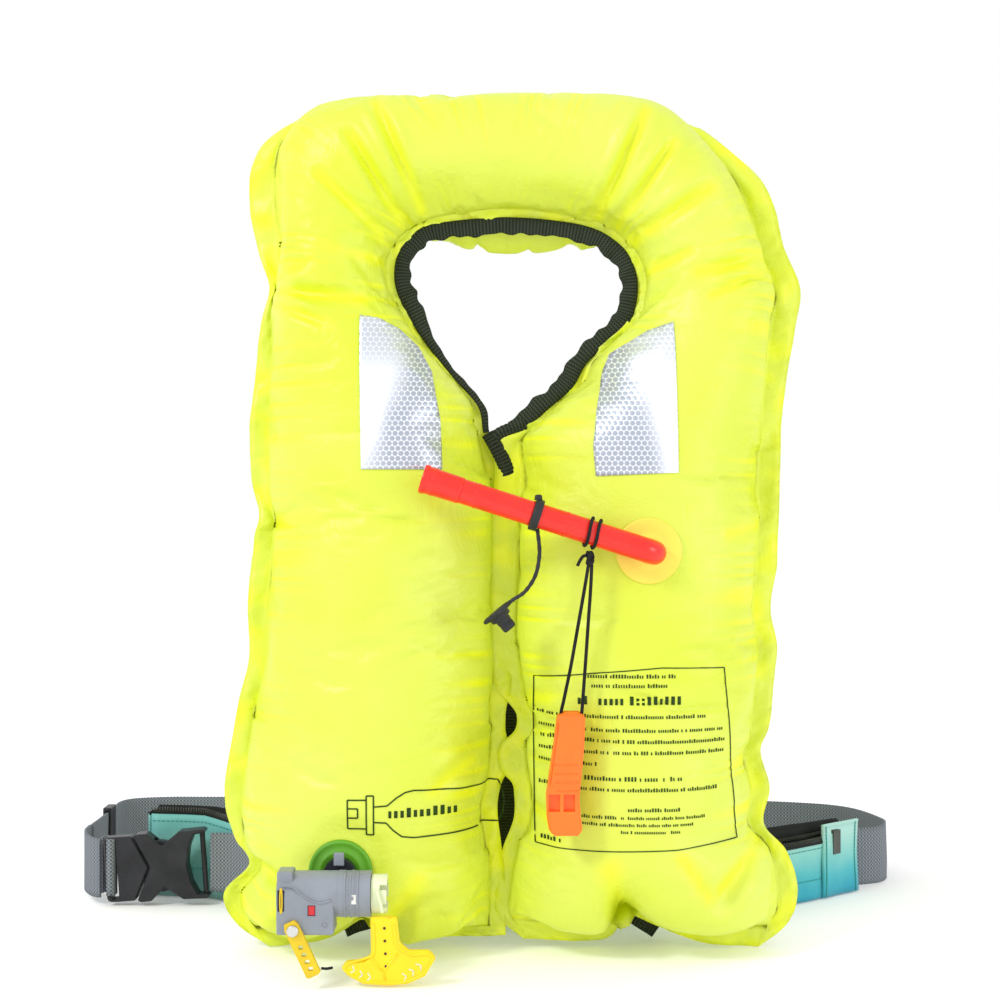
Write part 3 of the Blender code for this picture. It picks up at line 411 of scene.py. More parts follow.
def bladder_grid():
    """The flat-edged, inflated start shape: chamber front, chamber back and the weld flange round them."""
    rows, length = spline(BLADDER, ROWS + 2 * END_ROWS)
    outer, inner, depth, weld, fold = rows[:, 0:2], rows[:, 2:4], rows[:, 4], rows[:, 5], rows[:, 6]
    across = inner - outer
    across /= np.linalg.norm(across, axis=1)[:, None]
    inner_weld = INNER_WELD + (SLIT_WELD - INNER_WELD) * smoothstep((SLIT_TOP_Z - inner[:, 1]) / 25)
    weld_outer = outer + across * weld[:, None]
    weld_inner = inner - across * inner_weld[:, None]
    low, high = END_ROWS, len(rows) - 1 - END_ROWS
    step = length / (len(rows) - 1)
    distance = np.minimum(np.arange(low, high + 1) - low, high - np.arange(low, high + 1)) * step
    closing = (1 - (1 - np.clip(distance / END_ROUND, 0, 1)) ** 2.4) ** 0.5
    u = -np.cos(np.pi * np.linspace(0, 1, COLUMNS + 1))
    bulge = (1 - np.abs(u) ** SECTION_POWER) ** 0.5
    share = (u + 1) / 2
    wo, wi = weld_outer[low:high + 1], weld_inner[low:high + 1]
    xz = wo[:, None] * (1 - share)[None, :, None] + wi[:, None] * share[None, :, None]
    y = depth[low:high + 1, None] * closing[:, None] * bulge[None, :]
    count = len(wo)
    verts, front, back = [], np.zeros((count, COLUMNS + 1), int), np.zeros((count, COLUMNS + 1), int)
    for i in range(count):
        for j in range(COLUMNS + 1):
            front[i, j] = len(verts)
            verts.append((xz[i, j, 0], MID_Y - y[i, j], xz[i, j, 1]))
    for i in range(count):
        for j in range(COLUMNS + 1):
            if i in (0, count - 1) or j in (0, COLUMNS):
                back[i, j] = front[i, j]
            else:
                back[i, j] = len(verts)
                verts.append((xz[i, j, 0], MID_Y + y[i, j], xz[i, j, 1]))
    # the closed loop of the weld and the outline outside it
    loop, outline, back_fold = [], [], []
    spread = 3 * low

    def outward(i, edge):
        full = i + low
        if full < spread:
            full = (full - low) / (spread - low) * spread
        elif full > len(rows) - 1 - spread:
            full = len(rows) - 1 - (len(rows) - 1 - low - full) / (spread - low) * spread
        k = int(min(max(full, 0), len(rows) - 2))
        f = full - k
        return edge[k] * (1 - f) + edge[k + 1] * f

    for i in range(count):
        loop.append(front[i, 0])
        outline.append(outward(i, outer))
        back_fold.append(fold[i + low])
    for j in range(1, COLUMNS):
        loop.append(front[count - 1, j])
        outline.append(outer[-1] * (1 - share[j]) + inner[-1] * share[j])
        back_fold.append(0)
    for i in range(count - 1, -1, -1):
        loop.append(front[i, COLUMNS])
        outline.append(outward(i, inner))
        back_fold.append(0)
    for j in range(COLUMNS - 1, 0, -1):
        loop.append(front[0, j])
        outline.append(outer[0] * (1 - share[j]) + inner[0] * share[j])
        back_fold.append(0)
    verts = [np.array(v, float) for v in verts]
    ring = [loop]
    for k in range(1, FLANGE_COLUMNS + 1):
        column = []
        for start, edge, turn in zip(loop, outline, back_fold):
            a = verts[start]
            flat = np.array([edge[0], MID_Y, edge[1]]) - a
            reach = np.linalg.norm(flat)
            direction = flat * (1 - 0.75 * turn) + np.array([0, reach, 0]) * turn
            direction *= reach / max(np.linalg.norm(direction), 1e-6)
            column.append(len(verts))
            verts.append(a + direction * k / FLANGE_COLUMNS)
        ring.append(column)
    return np.array(verts), front, back, ring


def grid_faces(grid, flip):
    faces = []
    for i in range(grid.shape[0] - 1):
        for j in range(grid.shape[1] - 1):
            quad = (grid[i, j], grid[i, j + 1], grid[i + 1, j + 1], grid[i + 1, j])
            faces.append(tuple(int(v) for v in (quad[::-1] if flip else quad)))
    return faces


def ring_faces(ring):
    faces = []
    count = len(ring[0])
    for a, b in zip(ring, ring[1:]):
        for i in range(count):
            j = (i + 1) % count
            faces.append((int(a[i]), int(b[i]), int(b[j]), int(a[j])))
    return faces


def mesh_object(name, verts, faces):
    mesh = bpy.data.meshes.new(name)
    mesh.from_pydata([tuple(v) for v in verts], [], faces)
    mesh.update()
    obj = put_in_scene(bpy.data.objects.new(name, mesh))
    mesh.shade_smooth()
    return obj


def face_outward(obj, weld=False):
    """Turns every face of a closed piece outwards, after joining points that coincide where asked."""
    bm = bmesh.new()
    bm.from_mesh(obj.data)
    if weld:
        bmesh.ops.remove_doubles(bm, verts=bm.verts, dist=1e-6)
    bmesh.ops.recalc_face_normals(bm, faces=bm.faces)
    bm.to_mesh(obj.data)
    bm.free()
    return obj


def inflate(verts, front, back, ring):
    """Blows the bladder up as cloth and returns where its points go, each no further than SIM_CAP."""
    faces = grid_faces(front, False) + grid_faces(back, True) + ring_faces(ring)
    obj = mesh_object("inflating", verts * MM, faces)
    chamber = sorted(set(front.ravel()) | set(back.ravel()))
    obj.vertex_groups.new(name="chamber").add([int(v) for v in chamber], 1.0, "REPLACE")
    obj.vertex_groups.new(name="held").add([int(v) for v in ring[-1]], 1.0, "REPLACE")
    cloth = obj.modifiers.new("cloth", "CLOTH")
    s = cloth.settings
    s.quality, s.mass, s.air_damping = 6, 0.15, 3.0
    s.tension_stiffness = s.compression_stiffness = 60
    s.shear_stiffness, s.bending_stiffness = 15, 0.08
    s.tension_damping = s.compression_damping = 8
    s.shrink_min = s.shrink_max = -SLACK
    s.vertex_group_mass = "held"
    s.use_pressure, s.uniform_pressure_force = True, 7.0
    s.vertex_group_pressure = "chamber"
    s.effector_weights.gravity = 0
    cloth.collision_settings.use_collision = False
    cloth.point_cache.frame_start, cloth.point_cache.frame_end = 1, SIM_FRAMES
    for f in range(1, SIM_FRAMES + 1):
        bpy.context.scene.frame_set(f)
    evaluated = obj.evaluated_get(bpy.context.evaluated_depsgraph_get())
    moved = np.array([v.co for v in evaluated.data.vertices]) / MM
    bpy.context.scene.frame_set(1)
    bpy.data.objects.remove(obj)
    shift = moved - verts
    size = np.linalg.norm(shift, axis=1)[:, None]
    return verts + shift * (SIM_CAP / (SIM_CAP + size)) * np.minimum(1, size / 0.01)


def between(points, closed):
    """Doubles the points along the first axis, each new one on the cubic through its four neighbours."""
    if closed:
        padded = np.concatenate([points[-1:], points, points[:2]])
    else:
        padded = np.concatenate([2 * points[:1] - points[1:2], points, 2 * points[-1:] - points[-2:-1]])
    middle = (-padded[:-3] + 9 * padded[1:-2] + 9 * padded[2:-1] - padded[3:]) / 16
    made = np.zeros((len(points) + len(middle),) + points.shape[1:])
    made[0::2], made[1::2] = points, middle
    return made


def refine(verts, front, back, ring):
    """The same surface with twice the rows and columns, for the folds and gathers."""
    sheets = []
    for grid in (front, back):
        rows = between(verts[grid], False)
        sheets.append(between(rows.swapaxes(0, 1), False).swapaxes(0, 1))
    n, m = sheets[0].shape[:2]
    fine_front = np.arange(n * m).reshape(n, m)
    fine_back = fine_front.copy()
    fine_back[1:-1, 1:-1] = n * m + np.arange((n - 2) * (m - 2)).reshape(n - 2, m - 2)
    points = [sheets[0].reshape(-1, 3), sheets[1][1:-1, 1:-1].reshape(-1, 3)]
    start = n * m + (n - 2) * (m - 2)
    loop = list(fine_front[:, 0]) + list(fine_front[-1, 1:-1])
    loop += list(fine_front[::-1, -1]) + list(fine_front[0, -2:0:-1])
    fine_ring = [loop]
    for column in ring[1:]:
        fine = between(verts[np.array(column)], True)
        points.append(fine)
        fine_ring.append(list(range(start, start + len(fine))))
        start += len(fine)
    return np.vstack(points), fine_front, fine_back, fine_ring


def fold_in(verts, front, back):
    """Presses the folds of FOLDS into the front and, softer, into the back."""
    moved = verts.copy()
    for grid, share in ((front, 1.0), (back, 0.6)):
        ids = grid[:, 1:-1].ravel()
        p = verts[ids]
        for x0, z0, x1, z1, width, deep in FOLDS:
            a, b = np.array([x0, z0]), np.array([x1, z1])
            along = b - a
            t = np.clip(((p[:, [0, 2]] - a) @ along) / (along @ along), 0, 1)
            far = np.linalg.norm(p[:, [0, 2]] - (a + t[:, None] * along), axis=1)
            taper = np.sin(np.pi * np.clip(0.15 + 0.85 * t, 0, 1)) ** 0.7 if deep < 8 else smoothstep(t * 1.6)
            ridge = 0.35 * np.exp(-((far - 2.1 * width) / (0.9 * width)) ** 2) * (deep < 20)
            press = deep * share * (np.exp(-(far / width) ** 2) - ridge) * taper
            moved[ids, 1] += press * np.sign(MID_Y - p[:, 1])
    return moved


def seat_fittings(verts):
    """The skin lies flat behind the two welded fitting discs."""
    for x, z, radius, back in SEATS:
        far = np.linalg.norm(verts[:, [0, 2]] - (x, z), axis=1)
        share = 1 - smoothstep((far - radius) / (0.9 * radius))
        proud = np.where(verts[:, 1] < MID_Y, np.maximum(back + 0.4 - verts[:, 1], 0), 0)
        verts[:, 1] += proud * share
    return verts


def sag_behind_neck(verts):
    """The back of the collar hangs a little below its weld at the top of the neck opening."""
    behind = smoothstep((verts[:, 1] - MID_Y) / 20)
    near = np.exp(-((verts[:, 2] - 449) / 24) ** 2) * np.exp(-((verts[:, 0] - 12) / 58) ** 4)
    verts[:, 2] -= 31 * behind * near
    return verts


def sag_over_edge(verts):
    """The full front of each lobe hangs a little over its lower weld, but not at the notches."""
    proud = smoothstep((MID_Y - 10 - verts[:, 1]) / 26)
    low = np.exp(-((verts[:, 2] - 26) / 20) ** 2)
    for x, _, left, right in LIFTS:
        low *= 1 - 0.9 * np.exp(-((verts[:, 0] - x) / (0.4 * (left + right))) ** 2)
    verts[:, 2] -= 10 * proud * low
    return verts


def lift_edge(verts):
    low = np.exp(-np.maximum(verts[:, 2], 0) / 22)
    for x, height, left, right in LIFTS:
        width = np.where(verts[:, 0] < x, left, right)
        verts[:, 2] += height * np.exp(-np.abs((verts[:, 0] - x) / width) ** 1.5) * low
    return verts


def pucker(verts, front, back, ring):
    """Fine gathers that run in from the weld and slow waves in the flange; also how deep each trough is,
    which is painted as shade into the cloth's colour.
    """
    moved, trough_shade = verts.copy(), np.zeros(len(verts))
    for grid in (front, back):
        p = verts[grid]
        for edge in (0, front.shape[1] - 1):
            line = p[:, edge]
            run = np.concatenate([[0], np.cumsum(np.linalg.norm(np.diff(line, axis=0), axis=1))])
            wander = noise_along(run / 24, edge, 3.1)
            strength = (0.6 + 1.3 * noise_along(run / 45, edge, 9.7)).clip(0.05, 1.3)
            wave = np.abs(np.sin(run / 21 * 2 * np.pi + wander * 6)) - 0.6
            away = np.linalg.norm((p - line[:, None])[..., [0, 2]], axis=2)
            reach = (13 + 16 * np.abs(noise_along(run / 13, edge, 1.3)))[:, None]
            shape = np.exp(-(away / reach) ** 1.4) * (1 - np.exp(-away / 1.5))
            size = 5.0 if edge == 0 else 3.5
            depth = (wave * strength)[:, None] * shape
            moved[grid, 1] += np.sign(p[..., 1] - MID_Y) * depth * size
            # each gather's trough is kept as painted shade for the cloth's colour
            trough_shade[grid] = np.maximum(trough_shade[grid], -3.2 * depth)
    for k in range(1, FLANGE_COLUMNS + 1):
        ids = np.array(ring[k])
        waves = lumpy(verts[ids], 24, 5.0) * 6.5 + lumpy(verts[ids], 8, 8.0) * 1.3
        moved[ids, 1] += waves * k / FLANGE_COLUMNS
    return moved, trough_shade


def part_flanges(verts, shape, ring):
    """Along the slit the right lobe's flange laps in front of the left lobe's."""
    count = shape[0]
    first = sum(shape) - 2
    for k in range(1, FLANGE_COLUMNS + 1):
        share = k / FLANGE_COLUMNS
        for n in range(count):
            i = ring[k][first + n]
            height = verts[i, 2]
            closed = smoothstep((SLIT_TOP_Z + 5 - height) / 9) * smoothstep((height - 143) / 20)
            closed = max(closed, 0.9 * math.exp(-((height - 117) / 13) ** 4))
            if count - 1 - n > count / 2:
                verts[i, :2] += (-9.0 * share * closed, -3.0 * share * closed)
            else:
                verts[i, :2] += (3.0 * share * closed, 1.5 * share * closed)
    return verts


def paint_flange_and_shade(obj, ring, trough_shade, doubled):
    """1 on the flanges, less in the folds and gathers, 0 on the full chamber, for the cloth's colour: deep
    yellow on the welds, painted shade in the folds and gathers, and the chamber's painted sheen where it is
    0.
    """
    flat = np.zeros(len(obj.data.vertices))
    # the gathers' troughs: painted shade
    flat[:len(trough_shade)] = trough_shade.clip(0, 0.9)
    places = np.array([v.co for v in obj.data.vertices]) / MM
    # each fold: painted shade along its line
    for x0, z0, x1, z1, width, _ in FOLDS:
        a, along = np.array([x0, z0]), np.array([x1 - x0, z1 - z0])
        t = np.clip(((places[:, [0, 2]] - a) @ along) / (along @ along), 0, 1)
        far = np.linalg.norm(places[:, [0, 2]] - (a + t[:, None] * along), axis=1)
        flat = np.maximum(flat, 0.75 * np.exp(-(far / width) ** 2))
    # the flanges take deep yellow in patches; the weld line itself keeps most of the chamber's painted sheen
    for k, column in enumerate(ring):
        patchy = (0.25 + 1.2 * lumpy(places[np.array(column)], 13, 3.0)).clip(0.1, 1)
        for i, share in zip(column, patchy):
            flat[i] = 0.15 if k == 0 else share
            flat[doubled.get(int(i), i)] = flat[i]
    obj.data.attributes.new("flange_and_shade", "FLOAT", "POINT").data.foreach_set("value", flat)


def build_bladder():
    verts, front, back, ring = bladder_grid()
    verts = inflate(verts, front, back, ring)
    verts, front, back, ring = refine(verts, front, back, ring)
    verts = fold_in(verts, front, back)
    verts, trough_shade = pucker(verts, front, back, ring)
    verts = seat_fittings(verts)
    verts = sag_behind_neck(verts)
    verts = sag_over_edge(verts)
    verts = lift_edge(verts)
    verts = part_flanges(verts, front.shape, ring)
    verts[:, 2] = np.maximum(verts[:, 2], 0.3)
    # the flange is two layers of cloth: front and back copies joined at the outline
    total = len(verts)
    faces = grid_faces(front, False) + grid_faces(back, True)
    extra, doubled = [], {}
    for k in range(1, FLANGE_COLUMNS + 1):
        for i in ring[k]:
            doubled[int(i)] = total + len(extra)
            extra.append(verts[i] + (0, 1.0 if k < FLANGE_COLUMNS else 0.5, 0))
    for face in ring_faces(ring):
        faces.append(face[::-1])
        faces.append(tuple(doubled.get(v, v) for v in face))
    outline = [int(i) for i in ring[-1]]
    for a, b in zip(outline, outline[1:] + outline[:1]):
        faces.append((a, b, doubled[b], doubled[a]))
    verts = np.vstack([verts, np.array(extra)])
    obj = mesh_object("bladder_skin", verts * MM, faces)
    paint_flange_and_shade(obj, ring, trough_shade, doubled)
    face_outward(obj)
    obj.data.shade_smooth()
    obj.data.materials.append(FINISH["bladder_yellow"])
    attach(obj, BODY)
    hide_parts("bladder")
    return obj


# ------------------------------------------------------------------ laying things on the skin
PATCH_LEFT = [
    (-78, 386), (-76, 294), (-29, 294), (-30.5, 325), (-36, 353), (-44, 368), (-56, 379), (-66, 384),
]
PATCH_RIGHT = [
    (109, 382), (110, 292), (62, 290), (60.5, 308), (63, 329), (68, 354), (72, 364), (94, 377),
]
PATCH_STEP = 2.5
HONEYCOMB = 0.0034
# Label on the right lobe: its frame, then each printed row as x from, x to, z, height.
LABEL_FRAME = [
    (26, 170.5), (60, 174.5), (100, 178), (138, 177), (141, 148), (144, 112), (147.5, 74), (110, 71.5),
    (60, 70), (27, 69), (26.5, 100), (26, 140),
]
LABEL_ROWS = [
    (55, 108, 173.0, 2.3), (59, 103, 167.4, 2.3), (51, 111, 158.6, 5.0), (28, 128, 149.3, 2.2),
    (29, 138, 141.4, 2.2), (29, 139, 134.9, 2.2), (29, 138, 128.4, 2.2), (29, 62, 121.4, 2.2),
    (55, 112, 113.2, 2.6), (29, 133, 106.8, 2.2), (80, 111, 95.2, 2.2), (45, 74, 90.4, 2.0),
    (45, 74, 86.2, 2.0), (76, 127, 90.4, 1.8), (74, 119, 86.2, 1.8), (76, 111, 82, 1.8),
    (30, 42, 74, 2.6),
]
# Pictogram on the left lobe: the outline of a gas cylinder with its cap.
CYLINDER_LINES = [
    ([(-83.5, 101), (-72.5, 101), (-72.5, 84), (-83.5, 84)], True),
    ([(-83.3, 96), (-77.5, 96), (-77.5, 90.5), (-83.3, 90.5)], False),
    ([(-72.5, 103.5), (-68.3, 103.5), (-68.3, 80.5), (-72.5, 80.5)], True),
    ([(-68.3, 97), (-60.5, 97.5), (-55, 102), (-50, 105), (-45, 106), (4, 103.6), (7, 98), (8, 91), (7.2, 83),
      (4, 78.6), (-45, 78), (-52, 79), (-57, 83), (-61, 87.5), (-68.3, 88)], False),
]


def skin_tree():
    """The bladder's finished surface, for pieces that lie on it."""
    evaluated = bladder.evaluated_get(bpy.context.evaluated_depsgraph_get())
    mesh = evaluated.to_mesh()
    verts = [bladder.matrix_world @ v.co / MM for v in mesh.vertices]
    tree = BVHTree.FromPolygons(verts, [tuple(p.vertices) for p in mesh.polygons])
    evaluated.to_mesh_clear()
    return tree


def on_skin(x, z, lift):
    """The point over (x, z) on the front of the bladder, lifted off along the skin's own direction."""
    here, normal, _, _ = SKIN.ray_cast(Vector((x, -600, z)), Vector((0, 1, 0)))
    if here is None:
        return Vector((x, MID_Y, z))
    if normal.y > 0:
        normal = -normal
    return here + normal * lift


def uv_layer(mesh, uvs):
    layer = mesh.uv_layers.new(name="metres")
    for loop in mesh.loops:
        layer.data[loop.index].uv = uvs[loop.vertex_index]


def round_edges(obj, width, angle):
    edge = obj.modifiers.new("edge", "BEVEL")
    edge.width, edge.segments, edge.limit_method = width * MM, 2, "ANGLE"
    edge.angle_limit = math.radians(angle)


def finish_piece(obj, name, body=BODY, nodes=(), bevel=0.0):
    """Gives a piece its material, its body, the CAD nodes it stands for and, with a bevel, a soft edge."""
    obj.data.materials.append(FINISH[name] if isinstance(name, str) else name)
    if bevel:
        round_edges(obj, bevel, 35)
    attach(obj, body)
    if nodes:
        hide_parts(*nodes)
    return obj


def build_patch(name, outline, node_name):
    """A retroreflective patch with a honeycomb print, heat-bonded to the skin."""
    bm = bmesh.new()
    ring = [bm.verts.new((x, z, 0)) for x, z in outline]
    bm.faces.new(ring)
    low = Vector((min(p[0] for p in outline), min(p[1] for p in outline), 0))
    for axis, count in ((0, 21), (1, 40)):
        for k in range(1, count):
            spot = low.copy()
            spot[axis] += k * PATCH_STEP
            normal = Vector((1, 0, 0)) if axis == 0 else Vector((0, 1, 0))
            parts = bm.verts[:] + bm.edges[:] + bm.faces[:]
            bmesh.ops.bisect_plane(bm, geom=parts, plane_co=spot, plane_no=normal)
    uvs = []
    for vert in bm.verts:
        x, z = vert.co.x, vert.co.y
        uvs.append((x * MM, z * MM))
        vert.co = on_skin(x, z, 0.75) * MM
    bmesh.ops.recalc_face_normals(bm, faces=bm.faces)
    if sum(face.normal.y * face.calc_area() for face in bm.faces) > 0:
        bmesh.ops.reverse_faces(bm, faces=bm.faces)
    mesh = bpy.data.meshes.new(name)
    bm.to_mesh(mesh)
    bm.free()
    uv_layer(mesh, uvs)
    obj = put_in_scene(bpy.data.objects.new(name, mesh))
    mesh.shade_smooth()
    glare = []
    for x, z in uvs:
        outer = abs(x / MM - 16) + (z / MM - 340) * 0.25
        streak = noise.noise(Vector((x * 60, z * 25, 0))) * 9
        lower = 0.35 + 0.65 * smoothstep((375 - z / MM) / 40)
        glare.append(float(smoothstep((outer + streak - 62) / 22) * lower))
    mesh.attributes.new("glare", "FLOAT", "POINT").data.foreach_set("value", glare)
    thick = obj.modifiers.new("film", "SOLIDIFY")
    thick.thickness, thick.offset = 0.3 * MM, -1
    return finish_piece(obj, "reflective_silver", nodes=[node_name])


def reflective():
    """Silver film under a printed honeycomb, greyer at the top where it faces away from the light."""
    made, nodes, links, shader = new_material("reflective_silver", (0.6, 0.62, 0.68), 0.34, 0.35)
    uv = nodes.new("ShaderNodeUVMap")
    total = None
    for turn in (90, 210, 330):
        along = node(nodes, "ShaderNodeVectorMath", operation="DOT_PRODUCT")
        wave = 2 * math.pi / (HONEYCOMB * math.cos(math.pi / 6))
        a = math.radians(turn)
        along.inputs[1].default_value = (wave * math.cos(a), wave * math.sin(a), 0)
        links.new(uv.outputs["UV"], along.inputs[0])
        cosine = node(nodes, "ShaderNodeMath", operation="COSINE")
        links.new(along.outputs["Value"], cosine.inputs[0])
        if total is None:
            total = cosine.outputs[0]
        else:
            add = node(nodes, "ShaderNodeMath", operation="ADD")
            links.new(total, add.inputs[0])
            links.new(cosine.outputs[0], add.inputs[1])
            total = add.outputs[0]
    span = span_of(nodes, links, total, -1.5, 3.0)
    cell = color_ramp(nodes, [(0.12, (0, 0, 0)), (0.165, (1, 1, 1))])
    links.new(span.outputs[0], cell.inputs["Fac"])
    glare = nodes.new("ShaderNodeAttribute")
    glare.attribute_name = "glare"
    film = color_ramp(nodes, [(0.0, (0.36, 0.40, 0.48)), (0.5, (0.60, 0.64, 0.72)), (1.0, (0.97, 0.97, 1.0))])
    links.new(glare.outputs["Fac"], film.inputs["Fac"])
    mixed = color_mix(nodes, links, cell.outputs["Color"], (0.74, 0.77, 0.82), film.outputs["Color"])
    links.new(mixed, shader.inputs["Base Color"])
    add_bump(nodes, links, shader, span.outputs[0], 0.3, 0.0003)
    return made


def flat_quads(name, quads, lift, material):
    """Ink: thin four-cornered marks laid on the skin, each split lengthwise so that it follows the curve."""
    verts, faces = [], []
    for a, b, half in quads:
        a, b = Vector(a), Vector(b)
        along = (b - a)
        steps = max(1, int(along.length / 2))
        side = along.orthogonal().normalized() * half
        start = len(verts)
        for k in range(steps + 1):
            p = a + along * k / steps
            for q in (p - side, p + side):
                verts.append(on_skin(q.x, q.y, lift) * MM)
        for k in range(steps):
            i = start + 2 * k
            faces.append((i, i + 1, i + 3, i + 2))
    obj = mesh_object(name, verts, faces)
    bm = bmesh.new()
    bm.from_mesh(obj.data)
    for face in bm.faces:
        if face.normal.y > 0:
            face.normal_flip()
    bm.to_mesh(obj.data)
    bm.free()
    thick = obj.modifiers.new("ink", "SOLIDIFY")
    thick.thickness, thick.offset = 0.1 * MM, 0
    finish_piece(obj, material)
    return obj


def polyline(points, half, closed=False):
    ends = points[1:] + points[:1] if closed else points[1:]
    return [(a, b, half) for a, b in zip(points, ends)]


def greeked(x0, z, x1, height, seed):
    """Words of a printed row as rows of plain upright bars, so that no letter is formed."""
    marks, x, k = [], x0, 0
    while x < x1 - height * 0.3:
        pick = math.sin(seed * 12.9 + k * 78.2) * 43758.5
        pick -= math.floor(pick)
        k += 1
        if pick < 0.16:
            x += height * 0.5
            continue
        width = height * (0.35 + 0.25 * pick)
        tall = height * (1 if pick > 0.75 else 0.74)
        marks.append(((x + width / 2, z - height / 2), (x + width / 2, z - height / 2 + tall), width * 0.36))
        x += width + height * 0.16
    return marks


def build_prints():
    frame_lines = polyline(LABEL_FRAME, 0.32, True)
    rows = []
    for n, (x0, x1, z, height) in enumerate(LABEL_ROWS):
        rows += greeked(x0, z, x1, height, n + 1)
    flat_quads("label_print", frame_lines + rows, 0.3, "ink_green")
    marks = []
    for outline, closed in CYLINDER_LINES:
        marks += polyline(outline, 0.42, closed)
    marks += greeked(-60, 93, -11, 5.6, 40)
    flat_quads("cylinder_print", marks, 0.3, "ink_green")


# ------------------------------------------------------------------ swept pieces

def smooth_points(points, steps):
    """Catmull-Rom curve through the points, steps to each span."""
    p = [Vector(q) for q in points]
    p = [2 * p[0] - p[1]] + p + [2 * p[-1] - p[-2]]
    made = []
    for i in range(1, len(p) - 2):
        a, b, c, d = p[i - 1:i + 3]
        for k in range(steps):
            t = k / steps
            made.append(catmull_rom(a, b, c, d, t))
    return made + [p[-2]]


def sweep(name, points, radii, sides=20, closed=False):
    """A round tube along points, in mm, whose radius is one number or one per point."""
    points = [Vector(p) for p in points]
    count = len(points)
    if not hasattr(radii, "__len__"):
        radii = [radii] * count
    verts, faces, uvs = [], [], []
    up, run = Vector((0, -1, 0.01)), 0
    for i, p in enumerate(points):
        before = points[i - 1 if i or closed else 0]
        after = points[(i + 1) % count if closed else min(i + 1, count - 1)]
        ahead = (after - before).normalized()
        up = (up - ahead * up.dot(ahead)).normalized()
        side = ahead.cross(up)
        run += (p - before).length if i else 0
        for k in range(sides):
            a = 2 * math.pi * k / sides
            verts.append((p + (up * math.cos(a) + side * math.sin(a)) * radii[i]) * MM)
            uvs.append((run * MM, a * radii[i] * MM))
    for i in range(count if closed else count - 1):
        for k in range(sides):
            a, b = i * sides + k, i * sides + (k + 1) % sides
            c, d = (b + sides) % (count * sides), (a + sides) % (count * sides)
            faces.append((a, b, c, d))
    if not closed:
        faces.append(tuple(range(sides - 1, -1, -1)))
        faces.append(tuple(range((count - 1) * sides, count * sides)))
    obj = mesh_object(name, verts, faces)
    uv_layer(obj.data, uvs)
    return obj


def turned(name, profile, matrix, sides=48, closed=False):
    """A lathe-turned piece from (radius, height) pairs, turned about its own z and then placed."""
    verts, faces = [], []
    count = len(profile)
    for k in range(sides):
        a = 2 * math.pi * k / sides
        for r, z in profile:
            verts.append(matrix @ Vector((r * math.cos(a), r * math.sin(a), z)) * MM)
    for k in range(sides):
        for i in range(count if closed else count - 1):
            j, n = (i + 1) % count, (k + 1) % sides
            faces.append((k * count + i, n * count + i, n * count + j, k * count + j))
    return face_outward(mesh_object(name, verts, faces), weld=True)


def facing(axis, at):
    """Places a piece with its z along axis and its origin at a point, in mm."""
    return Matrix.Translation(Vector(at)) @ Vector(axis).to_track_quat("Z", "Y").to_matrix().to_4x4()


# ------------------------------------------------------------------ oral tube
TUBE_MOUTH = Vector((-39.5, -180, 288.5))
TUBE_ELBOW = Vector((95.4, -180, 245.3))
TUBE_AXIS = (TUBE_ELBOW - TUBE_MOUTH).normalized()
TUBE_RADIUS = 7.2
TUBE_BORE = 5.0
BORE_DEPTH = 24.0
ORAL_FLANGE_AT = (92.4, -167.7, 246.3)
CAP_CENTRE = Vector((4, -176, 210.5))
CAP_AXIS = Vector((0.64, 0, -0.77))
TETHER_ROUTE = [
    (27.3, -180, 257.3), (28.3, -180, 245), (26, -179, 232.5), (20, -177, 223), (13.4, -176, 218.4),
]
KNOT = Vector((57.4, -180, 242.3))
CORD_ROUTE = [
    (56.6, -180, 238.6), (54.4, -179.4, 225), (51, -177.6, 205), (46.7, -175.4, 180), (42.6, -174.2, 160),
    (41, -174, 152), (42.3, -174, 146.2), (46.8, -174, 143.2), (51.3, -174, 146), (52.9, -174, 152),
    (53.6, -174.2, 160), (55, -175.4, 180), (56.6, -177.6, 205), (57.9, -179.4, 225), (58.5, -180, 238.6),
]
WHISTLE_Y = -174.0

# ------------------------------------------------------------------ inflator, handle, belt and pouch
FLANGE_CENTRE = (-87.7, 58.6)
BODY_AXIS_Y, BODY_AXIS_Z = -190.0, 51.0
HANDLE_Y = -197.5
HANDLE_RIM = [
    (-66.3, 36), (-66, 20), (-70.5, 16.6), (-80, 13.6), (-82.6, 10.8), (-80, 8), (-71, 3.4), (-58, 2.4),
    (-47.6, 3.4), (-38.4, 7.4), (-33, 15.6), (-35.4, 18.8), (-45.4, 18.6), (-53, 24), (-54.8, 36),
]
# How far each moulded CAD node's edges are rounded.
EDGE = {
    "inflator_body": 0.9, "jerk_handle": 0.9, "whistle_body": 0.5, "buckle_female": 0.5, "buckle_male": 0.5,
    "cylinder_collar": 0.25, "inflator_hub": 0.4, "inflator_clip_tab": 0.4, "firing_lever": 0.35,
    "handle_clip": 0.4, "status_indicator": 0.2, "buckle_prong_upper": 0.4, "buckle_prong_lower": 0.4,
    "tri_glide": 0.4, "zip_slider": 0.3, "zip_pull": 0.3,
}
BELT_PLAN = [
    (-285.5, 62), (-285.5, 90), (-285.5, 130), (-285.5, 160), (-276, 178), (-248, 190), (-178, 201),
    (-58, 207), (66, 206), (152, 198), (214, 184), (256, 167), (275, 147), (286, 112), (286.5, 92),
    (279.5, 75), (267, 67.5), (257, 64.5), (248, 62),
]
BELT_LIFTS = [4.5, 4.5, 4.5, 4.5, 4, 3, 1, 0.3, 0.3, 0.3, 0.6, 1, 1, 1, 1, 1, 1, 1, 1]
LEFT_STRAP_PLAN = [(-267, 9), (-273, 14), (-280, 27), (-284.6, 44), (-285.5, 61.4)]
SHORT_STRAP_PLAN = [(-192.3, 9), (-185, 8.6), (-178, 7), (-170, 2.5), (-163, -2.5)]
